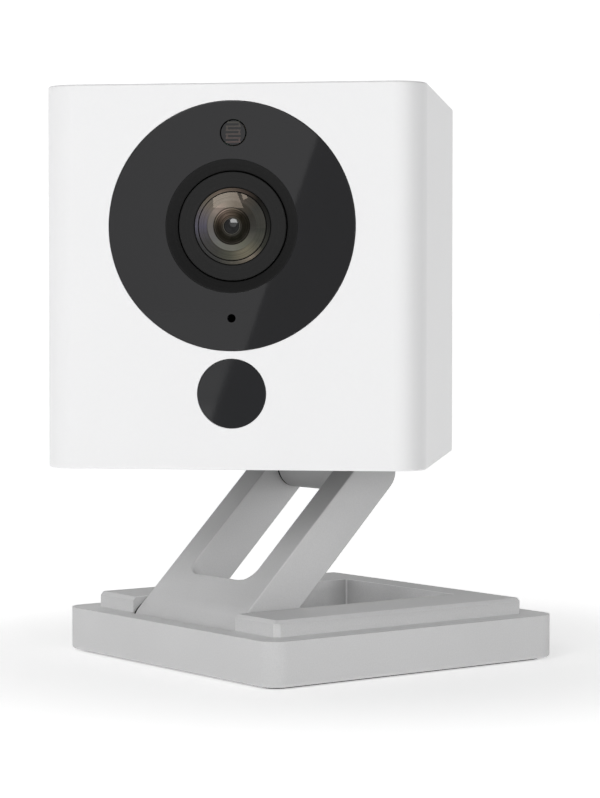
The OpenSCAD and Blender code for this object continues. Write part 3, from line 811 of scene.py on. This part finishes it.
def make_knuckle():
    dz = PAN.y - TILT.y
    bm = prism(circ(3.2, 96), -6.98, 6.98, 0.08, 0.08)
    kn = to_object(bm, "swivel_knuckle_visual", M_TILT @ X_UP)
    neck = prism(rr(13.9, 6.4, 0.3, 4), 0.0, 4.7)
    boolean(kn, to_object(neck, "c", M_TILT), "UNION")
    disc = prism(circ(16.0, 128, 0, dz), 4.25, 5.65, 0.15, 0.1)
    boolean(kn, to_object(disc, "c", M_TILT), "UNION")
    stem = prism(circ(5.0, 64, 0, dz), 5.0, 7.75)
    boolean(kn, to_object(stem, "c", M_TILT), "UNION")
    bore = prism(circ(1.3, 48), -9, 9)
    boolean(kn, to_object(bore, "c", M_TILT @ X_UP))
    clean(kn)
    finish_piece(kn, "swivel", KNUCKLE_GREY_PAINTED_SHADE, ["swivel_knuckle"])
    # near-black rings at the knuckle's ends: painted shade, a dark line where the knuckle meets the arm
    for s in (1, -1):
        sp = lathe(round_profile([(3.17, 0.0), (3.17, 0.26), (1.6, 0.26), (1.6, 0.0)], 0.02, 2), 96)
        o = to_object(sp, "knuckle_shade_ring_" + ("a" if s > 0 else "b"), M_TILT @ X_UP @ Matrix.Translation((0, 0, 7.0 if s > 0 else -7.26)))
        finish_piece(o, "swivel", DEEP_SHADE_BLACK, ["swivel_knuckle"])


# ---------------------------------------------------------------- head casing
def make_head():
    hw = 25.0
    shell = to_object(prism(rr(50, 50, 4.0, 20), -hw, hw, 0.3, 0.3, n=5), "head_shell_visual", M_HEAD)
    cav = prism(rr(46, 46, 2.2, 10), -19.4, 23.0, 0, 0.3)
    boolean(shell, to_object(cav, "c", M_HEAD))
    # bottom opening, mouth at the bottom
    bot = flared(rr(44.7, 44.7, 2.5, 10), -hw, -18.9, 0.25, False, True)
    boolean(shell, to_object(bot, "c", M_HEAD))
    # rear opening: local Z runs along +Y of the head
    rear = flared(rr(41.2, 43.2, 2.0, 10), 22.0, hw, 0.25, True, False)
    boolean(shell, to_object(rear, "c", M_HEAD @ Y_UP))
    # seat of the bezel: mouth towards -Y
    seat = flared(circ(16.17, 192), -hw, -hw + 1.25, 0.03, False, True, n=2)
    boolean(shell, to_object(seat, "c", lens_frame()))
    thru = prism(circ(14.3, 96), -hw + 1.0, -hw + 2.5)
    boolean(shell, to_object(thru, "c", lens_frame()))
    pir = flared(circ(4.53, 96), -hw, -hw + 3.0, 0.02, False, True, n=2)
    boolean(shell, to_object(pir, "c", lens_frame(PIR_Z)))
    clean(shell)
    finish_piece(shell, "head", WHITE, ["head_shell"])

    # rear cover with its port windows, light pipe hole and speaker grille
    holes = [
        (rr(14.6, 7.2, 0.5, 5, 9, 14.0), 0, 0.12),
        (rr(8.0, 3.1, 0.5, 5, -10, 16.05), 0, 0.12),
        (circ(0.95, 32, -2.5, 16.2), 0, 0.08),
    ]
    for ring in range(4):
        for k in range(max(ring * 6, 1)):
            a = math.radians(0 if ring == 0 else k * 60 / ring)
            holes.append((circ(0.5, 20, ring * 2.1 * math.cos(a), -8 + ring * 2.1 * math.sin(a)), 0, 0.1))
    rc = prism(rr(41, 43, 1.9, 10), 22.8, 24.8, 0, 0.25, holes)
    finish_piece(to_object(rc, "rear_cover_visual", M_HEAD @ Y_UP), "head", WHITE, ["rear_cover"])

    # bottom cover: plate with the swivel seat, button, card slot and screws
    bt = -22.4
    holes = [
        (circ(2.2, 40, -18, -17), 0.12, 0),
        (rr(11.5, 1.6, 0.3, 4, 13, -19.6), 0.12, 0),
        (circ(16.1, 128, 0, 1), 0.12, 0),
    ]
    for x in (-20, 20):
        for y in (-8, 8):
            holes.append((circ(1.7, 32, x, y), 0.1, 0))
    bc = prism(rr(44.6, 44.6, 2.45, 10), bt, bt + 1.45, 0.1, 0, holes)
    cover = to_object(bc, "bottom_cover_visual", M_HEAD)
    back = prism(rr(44.6, 44.6, 2.45, 10), bt + 1.45, bt + 3.0, 0, 0, [
        (circ(2.2, 40, -18, -17), 0, 0), (rr(11.5, 1.6, 0.3, 4, 13, -19.6), 0, 0), (circ(5.05, 64, 0, 1), 0, 0)])
    top = to_object(back, "bottom_cover_inner", M_HEAD)
    finish_piece(cover, "head", WHITE, ["bottom_cover"])
    finish_piece(top, "head", WHITE, ["bottom_cover"])

    # screw heads with cross recess
    for i, (x, y) in enumerate(((-20, -8), (20, -8), (-20, 8), (20, 8))):
        s = to_object(prism(circ(1.6, 40, x, y), bt + 0.08, bt + 1.2, 0.2, 0), f"case_screw_{i}", M_HEAD)
        cross = prism(rr(1.9, 0.34, 0.05, 2, x, y), bt - 0.5, bt + 0.6)
        boolean(s, to_object(cross, "c", M_HEAD))
        cross = prism(rr(0.34, 1.9, 0.05, 2, x, y), bt - 0.5, bt + 0.6)
        boolean(s, to_object(cross, "c", M_HEAD))
        finish_piece(s, "head", STEEL, ["case_screws"])

    btn = prism(circ(2.1, 48, -18, -17), bt - 0.3, -19.1, 0.3, 0)
    finish_piece(to_object(btn, "setup_button_visual", M_HEAD), "setup_button", BUTTON, ["setup_button"])


# ---------------------------------------------------------------- front
def make_front():
    hw = 25.0
    # profile Z is the head's +Y, so the front plane is at z = -25
    holes = [
        (circ(8.65, 128), 0.03, 0.0),
        (circ(1.75, 64, 0.25, -(LDR_Z - LENS_Z) + 0.155), 0.01, 0.0),
        (circ(0.54, 32, 0, 11.9), 0.03, 0.0),
    ]
    bz = prism(circ(16.15, 192), -hw, -hw + 1.25, 0.10, 0, holes, n=4)
    finish_piece(to_object(bz, "front_bezel_visual", lens_frame()), "head", BEZEL, ["front_bezel"])

    k = 0.0150
    hood_mat = ringed("lens_hood_black", [(7.0, (k, k, k)), (8.6, (k, k, k * 1.01))], 9.0, 0.6, 1.4, 0.04, gloss=0.12)
    hood = lathe(round_profile([(8.63, -24.97), (8.5, -24.97), (7.2, -24.0), (7.2, -23.0), (8.63, -23.0)], [0.02, 0.03, 0.04, 0, 0], 3), 160)
    finish_piece(to_object(hood, "lens_hood_visual", lens_frame()), "head", hood_mat, ["lens_hood"])

    # lens barrel: front ring, and the stepped and turned inside that shows through the glass
    c = 0.0200
    ring = lathe(round_profile([(7.03, -24.2), (5.12, -24.2), (5.04, -24.12), (5.04, -22.6), (7.03, -22.6)], [0.10, 0.02, 0.02, 0, 0], 3), 160)
    ring_mat = ringed("lens_ring_black", [(5.0, (c, c, c)), (7.1, (c, c, c))], 9.0, 0.55, 1.4, 0.05, gloss=0.12)
    finish_piece(to_object(ring, "lens_barrel_ring", lens_frame()), "head", ring_mat, ["lens_barrel"])

    one, dk = (1.0, 1.0, 1.0), (0.003, 0.003, 0.003)

    # The front element is one polished dome. Its coated glass shows the rings of the barrel behind it,
    # so it is made as ring zones that lie on one spherical surface and share its gloss.
    # The tints are painted on by radius and angle, as painted light, shade and reflection seen in the glass; the zones
    # are opaque.
    R = 18.0

    def dome(r):
        return -24.9 + R - math.sqrt(R * R - r * r)

    def zone(name, r0, r1, stops, angular, fine=0.05, gloss=0.36, n=192):
        steps = max(2, int((r1 - r0) / 0.12))
        rs = [r0 + (r1 - r0) * i / steps for i in range(steps + 1)]
        prof = [(r, dome(r)) for r in rs] + [(r1, dome(r1) + 0.3), (r0, dome(r0) + 0.3)]
        m = ringed(name + "_finish", stops, 5.2, 0.015, 1.45, fine, 0.0, angular, gloss, (1.0, 0.83, 0.68))
        o = to_object(lathe(prof[::-1], n), name, lens_frame())
        finish_piece(o, "head", m, ["front_lens"])

    def grey(*pairs):
        return [(r, (v, v, v)) for r, v in pairs]

    # ground bevel around the dome, with painted reflection around the axis
    bevel = ringed("front_lens_bevel_painted_reflection", [(4.44, dk), (4.50, dk), (4.55, one), (4.90, one), (4.96, dk), (5.1, dk)], 5.2, 0.4, 1.4, 0.06, 0.1, [
        (-180, (0.098, 0.094, 0.122)), (-155, (0.044, 0.044, 0.045)), (-115, (0.040, 0.040, 0.038)), (-85, (0.085, 0.079, 0.064)),
        (-58, (0.190, 0.160, 0.125)), (-35, (0.036, 0.037, 0.029)), (0, (0.013, 0.013, 0.012)), (45, (0.012, 0.011, 0.009)),
        (75, (0.075, 0.056, 0.045)), (110, (0.165, 0.128, 0.100)), (140, (0.140, 0.122, 0.098)), (162, (0.100, 0.092, 0.104)), (180, (0.098, 0.094, 0.122))], 0.12)
    o = to_object(lathe([(5.00, -22.45), (5.00, -24.08), (4.93, -24.12), (4.52, -24.30), (4.46, -24.28), (4.46, -24.0), (4.96, -23.7), (4.96, -22.45)], 192), "front_lens_bevel", lens_frame())
    finish_piece(o, "head", bevel, ["front_lens"])
    zone("front_lens_edge", 4.38, 4.46, [(4.3, dk), (4.5, dk)], None, gloss=0.04)
    zone("front_lens_outer", 3.29, 4.38, grey((3.29, 1.0), (3.5, 1.04), (3.9, 0.96), (4.2, 1.02), (4.38, 0.9)),
         [(-180, (0.073, 0.070, 0.098)), (-165, (0.040, 0.042, 0.055)), (-150, (0.025, 0.029, 0.034)), (-120, (0.023, 0.028, 0.026)), (-95, (0.045, 0.050, 0.038)),
          (-70, (0.120, 0.111, 0.078)), (-58, (0.126, 0.118, 0.083)), (-30, (0.038, 0.044, 0.036)), (0, (0.014, 0.020, 0.019)), (35, (0.019, 0.024, 0.024)),
          (50, (0.045, 0.042, 0.036)), (66, (0.075, 0.064, 0.054)), (80, (0.070, 0.062, 0.052)), (100, (0.122, 0.112, 0.094)), (122, (0.140, 0.127, 0.108)),
          (138, (0.145, 0.124, 0.102)), (163, (0.098, 0.090, 0.105)), (180, (0.073, 0.070, 0.098))], 0.08)
    zone("front_lens_ring", 3.20, 3.29, grey((3.1, 1.0), (3.4, 1.0)),
         [(-180, (0.055, 0.053, 0.055)), (-160, (0.018, 0.018, 0.017)), (-110, (0.020, 0.021, 0.017)), (-85, (0.038, 0.037, 0.028)), (-55, (0.090, 0.086, 0.062)),
          (-30, (0.045, 0.047, 0.040)), (0, (0.016, 0.020, 0.019)), (45, (0.030, 0.030, 0.026)), (80, (0.060, 0.054, 0.044)), (120, (0.165, 0.145, 0.120)),
          (150, (0.120, 0.106, 0.092)), (180, (0.055, 0.053, 0.055))], 0.02, 0.30)
    zone("front_lens_inner", 2.42, 3.20, grey((2.40, 0.75), (2.47, 0.95), (2.54, 1.0), (3.2, 1.0)),
         [(-180, (0.115, 0.109, 0.106)), (-150, (0.096, 0.099, 0.101)), (-118, (0.112, 0.118, 0.105)), (-85, (0.120, 0.122, 0.104)), (-58, (0.100, 0.104, 0.080)),
          (-30, (0.053, 0.056, 0.048)), (0, (0.014, 0.017, 0.017)), (30, (0.010, 0.013, 0.012)), (50, (0.030, 0.027, 0.022)), (80, (0.056, 0.050, 0.038)),
          (100, (0.118, 0.106, 0.087)), (122, (0.225, 0.179, 0.152)), (138, (0.228, 0.188, 0.160)), (155, (0.148, 0.131, 0.116)), (180, (0.115, 0.109, 0.106))], 0.04, 0.30)
    # the stepped stop behind the dome, painted on the dome as three zones of turned steps around the pupil, with
    # painted light and reflection around the axis
    zone("front_lens_stop_wide", 1.98, 2.42, grey((1.98, 0.55), (2.04, 1.40), (2.10, 0.50), (2.17, 1.45), (2.23, 1.75), (2.30, 0.60), (2.37, 0.90), (2.42, 0.30)),
         [(-180, (0.028, 0.024, 0.019)), (-150, (0.011, 0.011, 0.009)), (-60, (0.015, 0.014, 0.011)), (-30, (0.010, 0.010, 0.008)), (0, (0.003, 0.003, 0.002)), (30, (0.005, 0.005, 0.003)),
          (45, (0.014, 0.012, 0.009)), (60, (0.045, 0.037, 0.029)), (90, (0.118, 0.096, 0.073)), (120, (0.200, 0.152, 0.127)), (150, (0.098, 0.078, 0.060)), (165, (0.050, 0.042, 0.031)), (180, (0.028, 0.024, 0.019))], 0.16, 0.10)
    zone("front_lens_stop_mid", 1.42, 1.98, grey((1.42, 2.3), (1.47, 0.7), (1.53, 1.9), (1.60, 0.5), (1.67, 1.7), (1.74, 0.4), (1.82, 1.7), (1.89, 0.5), (1.98, 1.6)),
         [(-180, (0.018, 0.014, 0.010)), (-150, (0.006, 0.006, 0.004)), (-60, (0.010, 0.010, 0.007)), (0, (0.006, 0.006, 0.004)), (45, (0.013, 0.011, 0.007)),
          (60, (0.030, 0.024, 0.017)), (90, (0.084, 0.064, 0.048)), (120, (0.125, 0.092, 0.073)), (150, (0.063, 0.047, 0.037)), (165, (0.034, 0.026, 0.018)), (180, (0.018, 0.014, 0.010))], 0.16, 0.08)
    zone("front_lens_stop_near", 1.12, 1.42, grey((1.12, 0.50), (1.19, 1.25), (1.26, 1.75), (1.33, 0.70), (1.42, 0.40)),
         [(-180, (0.030, 0.026, 0.020)), (-150, (0.021, 0.020, 0.016)), (-60, (0.029, 0.028, 0.024)), (0, (0.027, 0.025, 0.021)), (60, (0.036, 0.031, 0.023)),
          (90, (0.066, 0.052, 0.039)), (120, (0.073, 0.054, 0.041)), (150, (0.052, 0.039, 0.030)), (180, (0.030, 0.026, 0.020))], 0.14, 0.08)
    zone("front_lens_lip", 1.00, 1.12, grey((0.98, 0.4), (1.02, 1.0), (1.09, 1.0), (1.13, 0.3)),
         [(-180, (0.070, 0.066, 0.056)), (-60, (0.062, 0.062, 0.056)), (60, (0.070, 0.067, 0.058)), (120, (0.100, 0.084, 0.070)), (180, (0.070, 0.066, 0.056))], 0.04, 0.08)
    # the pupil, and the small bright inner element that sits off its axis
    rim, n, Rp = 0.99, 14, 6.0
    prof = [(rim * i / n, -24.86 + Rp - math.sqrt(Rp * Rp - (rim * i / n) ** 2)) for i in range(n + 1)] + [(rim, -24.5), (0.0, -24.5)]
    pm = ringed("pupil_finish", grey((0.0, 0.020), (0.30, 0.013), (0.48, 0.021), (0.62, 0.014), (0.84, 0.020), (0.94, 0.010)), 5.2, 0.03, 1.45, 0.05, 0.0, None, 0.10)
    finish_piece(to_object(lathe(prof[::-1], 96, closed=False), "front_lens_pupil", lens_frame()), "head", pm, ["front_lens"])
    cx, cz, rb, Rb, ox, oz = 0.27, 0.42, 0.55, 4.0, 0.43, -0.10
    bm = bmesh.new()

    def cap(x, z):
        return bm.verts.new((x, -z, -24.985 + Rb - math.sqrt(Rb * Rb - (x - ox) ** 2 - (z - oz) ** 2)))

    rows_n, seg = 6, 48
    hub = cap(cx, cz)
    grid = [[cap(cx + rb * i / rows_n * math.cos(2 * math.pi * j / seg), cz + rb * i / rows_n * math.sin(2 * math.pi * j / seg)) for j in range(seg)] for i in range(1, rows_n + 1)]
    back_hub = bm.verts.new((cx, -cz, -24.6))
    back = [bm.verts.new((v.co.x, v.co.y, -24.6)) for v in grid[-1]]
    for j in range(seg):
        k = (j + 1) % seg
        bm.faces.new((hub, grid[0][j], grid[0][k]))
        for i in range(rows_n - 1):
            bm.faces.new((grid[i][j], grid[i + 1][j], grid[i + 1][k], grid[i][k]))
        bm.faces.new((grid[-1][j], back[j], back[k], grid[-1][k]))
        bm.faces.new((back[j], back_hub, back[k]))
    bmesh.ops.recalc_face_normals(bm, faces=bm.faces)
    gm = ringed("inner_element_finish", grey((0.0, 0.014), (0.5, 0.010), (1.0, 0.006)), 5.2, 0.03, 1.62, 0.05, 0.0, None, 0.5)
    finish_piece(to_object(bm, "inner_element_cap", lens_frame()), "head", gm, ["front_lens"])

    tube = lathe([(6.0, -22.5), (6.0, -9.1), (3.6, -9.1), (3.6, -17.0), (2.45, -17.6), (2.45, -20.4), (4.4, -20.6), (4.4, -22.5)], 96)
    finish_piece(to_object(tube, "lens_barrel_tube", lens_frame()), "head", DARK, ["lens_barrel"])
    prof, n = [], 24
    for i in range(n + 1):
        r = 2.40 * i / n
        prof.append((r, -20.3 + 8.0 - math.sqrt(8.0 * 8.0 - r * r)))
    prof += [(2.40, -18.15), (0.0, -18.15)]
    gl = lathe(prof[::-1], 96, closed=False)
    finish_piece(to_object(gl, "inner_lens_visual", lens_frame()), "head", INNERGLASS, ["inner_lens"])

    # light sensor: a dark gloss window, with the sensor's serpentine track in its face
    ldr = M_HEAD @ Matrix.Translation((0.25, 0, LDR_Z - 0.155)) @ Y_UP
    win = prism(circ(1.58, 64), -hw + 0.01, -hw + 0.8, 0.02, 0)
    finish_piece(to_object(win, "sensor_window_visual", ldr), "head", BEZEL, ["sensor_window"])
    LDRMAT = moulded("ldr_ceramic", (0.3, 0.22, 0.17), 0.1, 2.0, 0.6, 0.2, 0.02)
    ld = prism(circ(1.6, 64), -hw + 0.9, -22.9, 0.05, 0)
    finish_piece(to_object(ld, "light_sensor_visual", ldr), "head", LDRMAT, ["light_sensor"])
    # serpentine track
    m, nt, b = _mat("ldr_track")
    v = _coords(nt)
    sep = nt.nodes.new("ShaderNodeSeparateXYZ")
    nt.links.new(v, sep.inputs[0])
    zc = HEAD.z + LDR_Z
    f = _range(nt, sep.outputs["Z"], zc - 1.4, zc + 1.4, 0, 1)
    nt.links.new(_ramp(nt, f, 0.0, 1.0, (0.058, 0.038, 0.036), (0.034, 0.033, 0.026)), b.inputs["Base Color"])
    b.inputs["Roughness"].default_value = 0.03
    rows = (1.32, 0.82, 0.32, -0.18, -0.68, -1.18)
    wd, lo, hi = 0.10, -24.998, -24.95
    bm = bmesh.new()

    def bar(ax, bx, az, bz):
        vs = [bm.verts.new(q) for q in ((ax, -az, lo), (bx, -az, lo), (bx, -bz, lo), (ax, -bz, lo),
                                        (ax, -az, hi), (bx, -az, hi), (bx, -bz, hi), (ax, -bz, hi))]
        for q in ((0, 1, 2, 3), (4, 7, 6, 5), (0, 4, 5, 1), (1, 5, 6, 2), (2, 6, 7, 3), (3, 7, 4, 0)):
            bm.faces.new([vs[t] for t in q])

    for i, z in enumerate(rows):
        half = min(0.88, math.sqrt(1.52 ** 2 - z * z) - 0.1)
        bar(-half - wd, half + wd, z - wd, z + wd)
        if i:
            x = half if i % 2 else -half
            x = min(abs(x), 0.80) * (1 if i % 2 else -1)
            bar(x - wd, x + wd, z + wd, rows[i - 1] - wd)
    finish_piece(to_object(bm, "light_sensor_track", ldr), "head", m, ["light_sensor"])

    # motion sensor window: a flat black disc
    prof = [(0.0, -hw), (4.40, -hw), (4.45, -hw + 0.02), (4.48, -hw + 0.08), (4.48, -22.6), (0.0, -22.6)]
    pw = lathe(prof[::-1], 160, closed=False)
    finish_piece(to_object(pw, "pir_window_visual", lens_frame(PIR_Z) @ Matrix.Translation((0, 0, -hw + 0.02)) @ Matrix.Rotation(math.radians(-0.25), 4, "Y") @ Matrix.Translation((0, 0, hw))), "head", PIRBLACK, ["pir_window"])


# ---------------------------------------------------------------- back fittings
def make_ports():
    # USB-A: folded steel shell with a tongue and contacts
    sh = to_object(prism(rr(14.4, 7.0, 0.5, 4, 9, 14.0), 11.0, 24.6, 0, 0.15), "usb_a_shell", M_HEAD @ Y_UP)
    cut = flared(rr(12.5, 5.1, 0.3, 3, 9, 14.0), 14.0, 24.6, 0.12, True, False)
    boolean(sh, to_object(cut, "c", M_HEAD @ Y_UP))
    clean(sh)
    finish_piece(sh, "head", STEEL, ["usb_a_port"])
    tg = prism(rr(11.2, 1.8, 0.2, 3, 9, 13.3), 13.0, 22.6, 0, 0.25)
    finish_piece(to_object(tg, "usb_a_tongue", M_HEAD @ Y_UP), "head", DARK, ["usb_a_port"])
    for i in range(4):
        x = 9 + (i - 1.5) * 2.3
        c = prism(rr(1.0, 0.12, 0.03, 2, x, 14.24), 15.0, 22.2, 0, 0.05, n=2)
        finish_piece(to_object(c, f"usb_a_contact_{i}", M_HEAD @ Y_UP), "head", BRASS, ["usb_a_port"])
    sh = to_object(prism(rr(7.8, 2.9, 0.5, 5, -10, 16.05), 19.0, 24.6, 0, 0.12), "micro_usb_shell", M_HEAD @ Y_UP)
    cut = flared(rr(6.8, 2.1, 0.4, 4, -10, 16.05), 20.0, 24.6, 0.1, True, False)
    boolean(sh, to_object(cut, "c", M_HEAD @ Y_UP))
    clean(sh)
    finish_piece(sh, "head", STEEL, ["micro_usb_port"])
    tg = prism(rr(4.4, 0.6, 0.1, 3, -10, 16.0), 19.5, 23.8, 0, 0.12)
    finish_piece(to_object(tg, "micro_usb_tongue", M_HEAD @ Y_UP), "head", DARK, ["micro_usb_port"])
    lp = prism(circ(0.9, 40, -2.5, 16.2), 21.6, 24.78, 0, 0.2)
    finish_piece(to_object(lp, "light_pipe_visual", M_HEAD @ Y_UP), "head", CLEAR, ["light_pipe"])


make_base()
make_arm()
make_knuckle()
make_head()
make_front()
make_ports()

# the inner pieces keep their CAD shapes and get their finishes
FINISH = {
    "base_magnets": STEEL, "base_screws": STEEL, "fold_pin_saddles": GREY, 
    "wave_washer": STEEL, "swivel_retainer": STEEL, "swivel_screw": STEEL, "rear_lens": INNERGLASS,
    "lens_holder": DARK, "ir_cut_filter": INNERGLASS, "ir_cut_coil": COPPER, "image_sensor": SENSORDIE,
    "sensor_board": BOARD, "board_standoffs": BRASS, "sensor_flex": FLEX, "ir_led_board": BOARD, "ir_leds": LEDRESIN,
    "microphone": DEEP_SHADE_BLACK, "pir_sensor": STEEL, "pir_board": BOARD, "main_board": BOARD, "shield_can": STEEL,
    "heat_sink": ALU, "board_screws": STEEL, "wifi_antenna": DARK, "speaker": DARK, "usb_board": BOARD,
    "status_led": LEDRESIN, "button_switch": DARK, "switch_board": BOARD, "microsd_socket": STEEL, "card_board": BOARD,
    "base_cover": GREY,
}
for name, mat in FINISH.items():
    o = frame["nodes"][name]
    o.data.materials.clear()
    o.data.materials.append(mat)

# ---------------------------------------------------------------- stage
def plane(name, corners, mat):
    bm = bmesh.new()
    bm.faces.new([bm.verts.new(c) for c in corners])
    me = bpy.data.meshes.new(name)
    bm.to_mesh(me)
    bm.free()
    me.materials.append(mat)
    o = bpy.data.objects.new(name, me)
    scene.collection.objects.link(o)
    return o


def floor_material():
    m, nt, b = _mat("floor")
    v = _coords(nt, 1.0)
    n = _noise(nt, v, 6.0, 3)
    nt.links.new(_ramp(nt, n, 0.3, 0.7, (0.895, 0.895, 0.895), (0.905, 0.905, 0.905)), b.inputs["Base Color"])
    b.inputs["Roughness"].default_value = 0.9
    b.inputs["IOR"].default_value = 1.1
    b.inputs["Emission Color"].default_value = (1, 1, 1, 1)
    # the floor glows and brightens away from the product until it meets the white surround: painted light, with a
    # painted soft shadow round the product
    tc = nt.nodes.new("ShaderNodeTexCoord")
    far = nt.nodes.new("ShaderNodeVectorMath")
    far.operation = "LENGTH"
    nt.links.new(tc.outputs["Object"], far.inputs[0])
    ramp = nt.nodes.new("ShaderNodeMapRange")
    ramp.interpolation_type = "SMOOTHSTEP"
    for k, x in (("From Min", FLOOR_R0), ("From Max", FLOOR_R1), ("To Min", FLOOR_GLOW), ("To Max", FLOOR_FAR)):
        ramp.inputs[k].default_value = x
    nt.links.new(far.outputs["Value"], ramp.inputs["Value"])
    nt.links.new(ramp.outputs["Result"], b.inputs["Emission Strength"])
    return m


def glow(name, value):
    m = bpy.data.materials.new(name)
    m.use_nodes = True
    nt = m.node_tree
    nt.nodes.clear()
    em = nt.nodes.new("ShaderNodeEmission")
    em.inputs["Color"].default_value = (value, value, value, 1)
    out = nt.nodes.new("ShaderNodeOutputMaterial")
    nt.links.new(em.outputs[0], out.inputs[0])
    return m


# the floor's glow near the product and far off; the lower glow near it paints a soft shadow
FLOOR_GLOW = 0.385
FLOOR_FAR = 0.62
FLOOR_R0 = 0.038
FLOOR_R1 = 0.09
CARD = 0.53
KEY = 6.4
SKY_LOW = (1.66, 0.86, 1.20, 0.68)
SKY_MID = (0.08, 0.0, 0.55, 0.0)
SKY_HIGH = 0.50

S = 30.0
plane("floor", [(-S, -S, 0), (S, -S, 0), (S, S, 0), (-S, S, 0)], floor_material())

def off_view(o):
    """Lights and cards light and reflect, but don't stand in the picture."""
    o.visible_camera = False
    return o


# grey card to the right of the camera: its slanted edge shows in the gloss bezel
O = Vector((0.195056, -0.268522, 0.0))
u = Vector((0.81122869, 0.58472901, 0.0))


def on_card(side, high):
    return O + u * side + Vector((0, 0, high))


def edge_at(high):
    return 0.341 * (high - 0.0387)


off_view(plane("card_front", [on_card(edge_at(0.002), 0.002), on_card(0.045, 0.002), on_card(0.045, 0.125), on_card(edge_at(0.125), 0.125)], glow("card_front", CARD)))

# key: a big softbox to the upper left of the camera, with a barn door across its right end
off_view(plane("key_softbox", [(0.2068, -0.7737, 0.5818), (0.3002, -0.8666, 0.3254), (0.6624, -0.6602, 0.3399), (0.4529, -0.6334, 0.5918)], glow("key_softbox", KEY)))
off_view(plane("key_strip", [(0.5505, -0.6118, 0.5350), (0.6221, -0.6263, 0.4395), (0.6629, -0.5824, 0.4781), (0.5778, -0.5960, 0.5368)], glow("key_strip", KEY)))
# a black flag to the right keeps the side faces from flaring
off_view(plane("flag_right", [(0.95, 0.10, 0.15), (0.95, 0.50, 0.15), (0.80, 0.50, 0.65), (0.80, 0.10, 0.65)], glow("flag_right", 0.0)))


def sky(name, low, mid, high):
    """Studio surround: brightness by height (low, mid, high) and by side (+X, +Y, -X, -Y)."""
    world = bpy.data.worlds.new(name)
    scene.world = world
    world.use_nodes = True
    nt = world.node_tree
    back = nt.nodes["Background"]

    def value(label, v):
        n = nt.nodes.new("ShaderNodeValue")
        n.name = label
        n.outputs[0].default_value = v
        return n.outputs[0]

    def op(kind, a, b=None):
        n = nt.nodes.new("ShaderNodeMath")
        n.operation = kind
        for i, x in enumerate((a, b)):
            if x is None:
                continue
            if isinstance(x, (int, float)):
                n.inputs[i].default_value = x
            else:
                nt.links.new(x, n.inputs[i])
        return n.outputs[0]

    def smooth(x, lo, hi, a, b):
        n = nt.nodes.new("ShaderNodeMapRange")
        n.interpolation_type = "SMOOTHSTEP"
        for k, v in (("From Min", lo), ("From Max", hi), ("To Min", a), ("To Max", b)):
            n.inputs[k].default_value = v
        nt.links.new(x, n.inputs["Value"])
        return n.outputs["Result"]

    tc = nt.nodes.new("ShaderNodeTexCoord")
    sep = nt.nodes.new("ShaderNodeSeparateXYZ")
    nt.links.new(tc.outputs["Generated"], sep.inputs[0])
    x, y, z = sep.outputs["X"], sep.outputs["Y"], sep.outputs["Z"]
    hor = op("MAXIMUM", op("SQRT", op("ADD", op("MULTIPLY", x, x), op("MULTIPLY", y, y))), 0.0001)
    nx, ny = op("DIVIDE", x, hor), op("DIVIDE", y, hor)
    lobes = []
    for c, sign in ((nx, 1.0), (ny, 1.0), (nx, -1.0), (ny, -1.0)):
        m = op("MAXIMUM", op("MULTIPLY", c, sign), 0.0)
        lobes.append(op("MULTIPLY", m, m))
    b_low = smooth(z, 0.17, 0.57, 1.0, 0.0)
    b_high = smooth(z, 0.57, 0.94, 0.0, 1.0)
    b_mid = op("SUBTRACT", op("SUBTRACT", 1.0, b_low), b_high)
    total = op("MULTIPLY", b_high, value("high", high))
    for band, label, ws in ((b_low, "low", low), (b_mid, "mid", mid)):
        for i, side in enumerate(lobes):
            total = op("ADD", total, op("MULTIPLY", op("MULTIPLY", band, side), value(f"{label}{i}", ws[i])))
    nt.links.new(total, back.inputs["Strength"])
    back.inputs["Color"].default_value = (1.0, 1.0, 1.0, 1)


sky("studio", SKY_LOW, SKY_MID, SKY_HIGH)

# ---------------------------------------------------------------- camera
cam = bpy.data.cameras.new("camera")
cam.sensor_width = 36.0
cam.lens = 2466.0 / 798 * 36.0
cam.clip_start = 0.01
co = bpy.data.objects.new("camera", cam)
scene.collection.objects.link(co)
co.location = (0.27807, -0.21143, (HEAD.z - 4.099) * MM)
fwd = Vector((-0.79745371, 0.60226650, -0.03664369))
co.rotation_euler = fwd.to_track_quat("-Z", "Y").to_euler()
scene.camera = co

scene.view_settings.view_transform = "Standard"
scene.view_settings.look = "None"
scene.view_settings.exposure = 0.0
scene.view_settings.gamma = 1.0
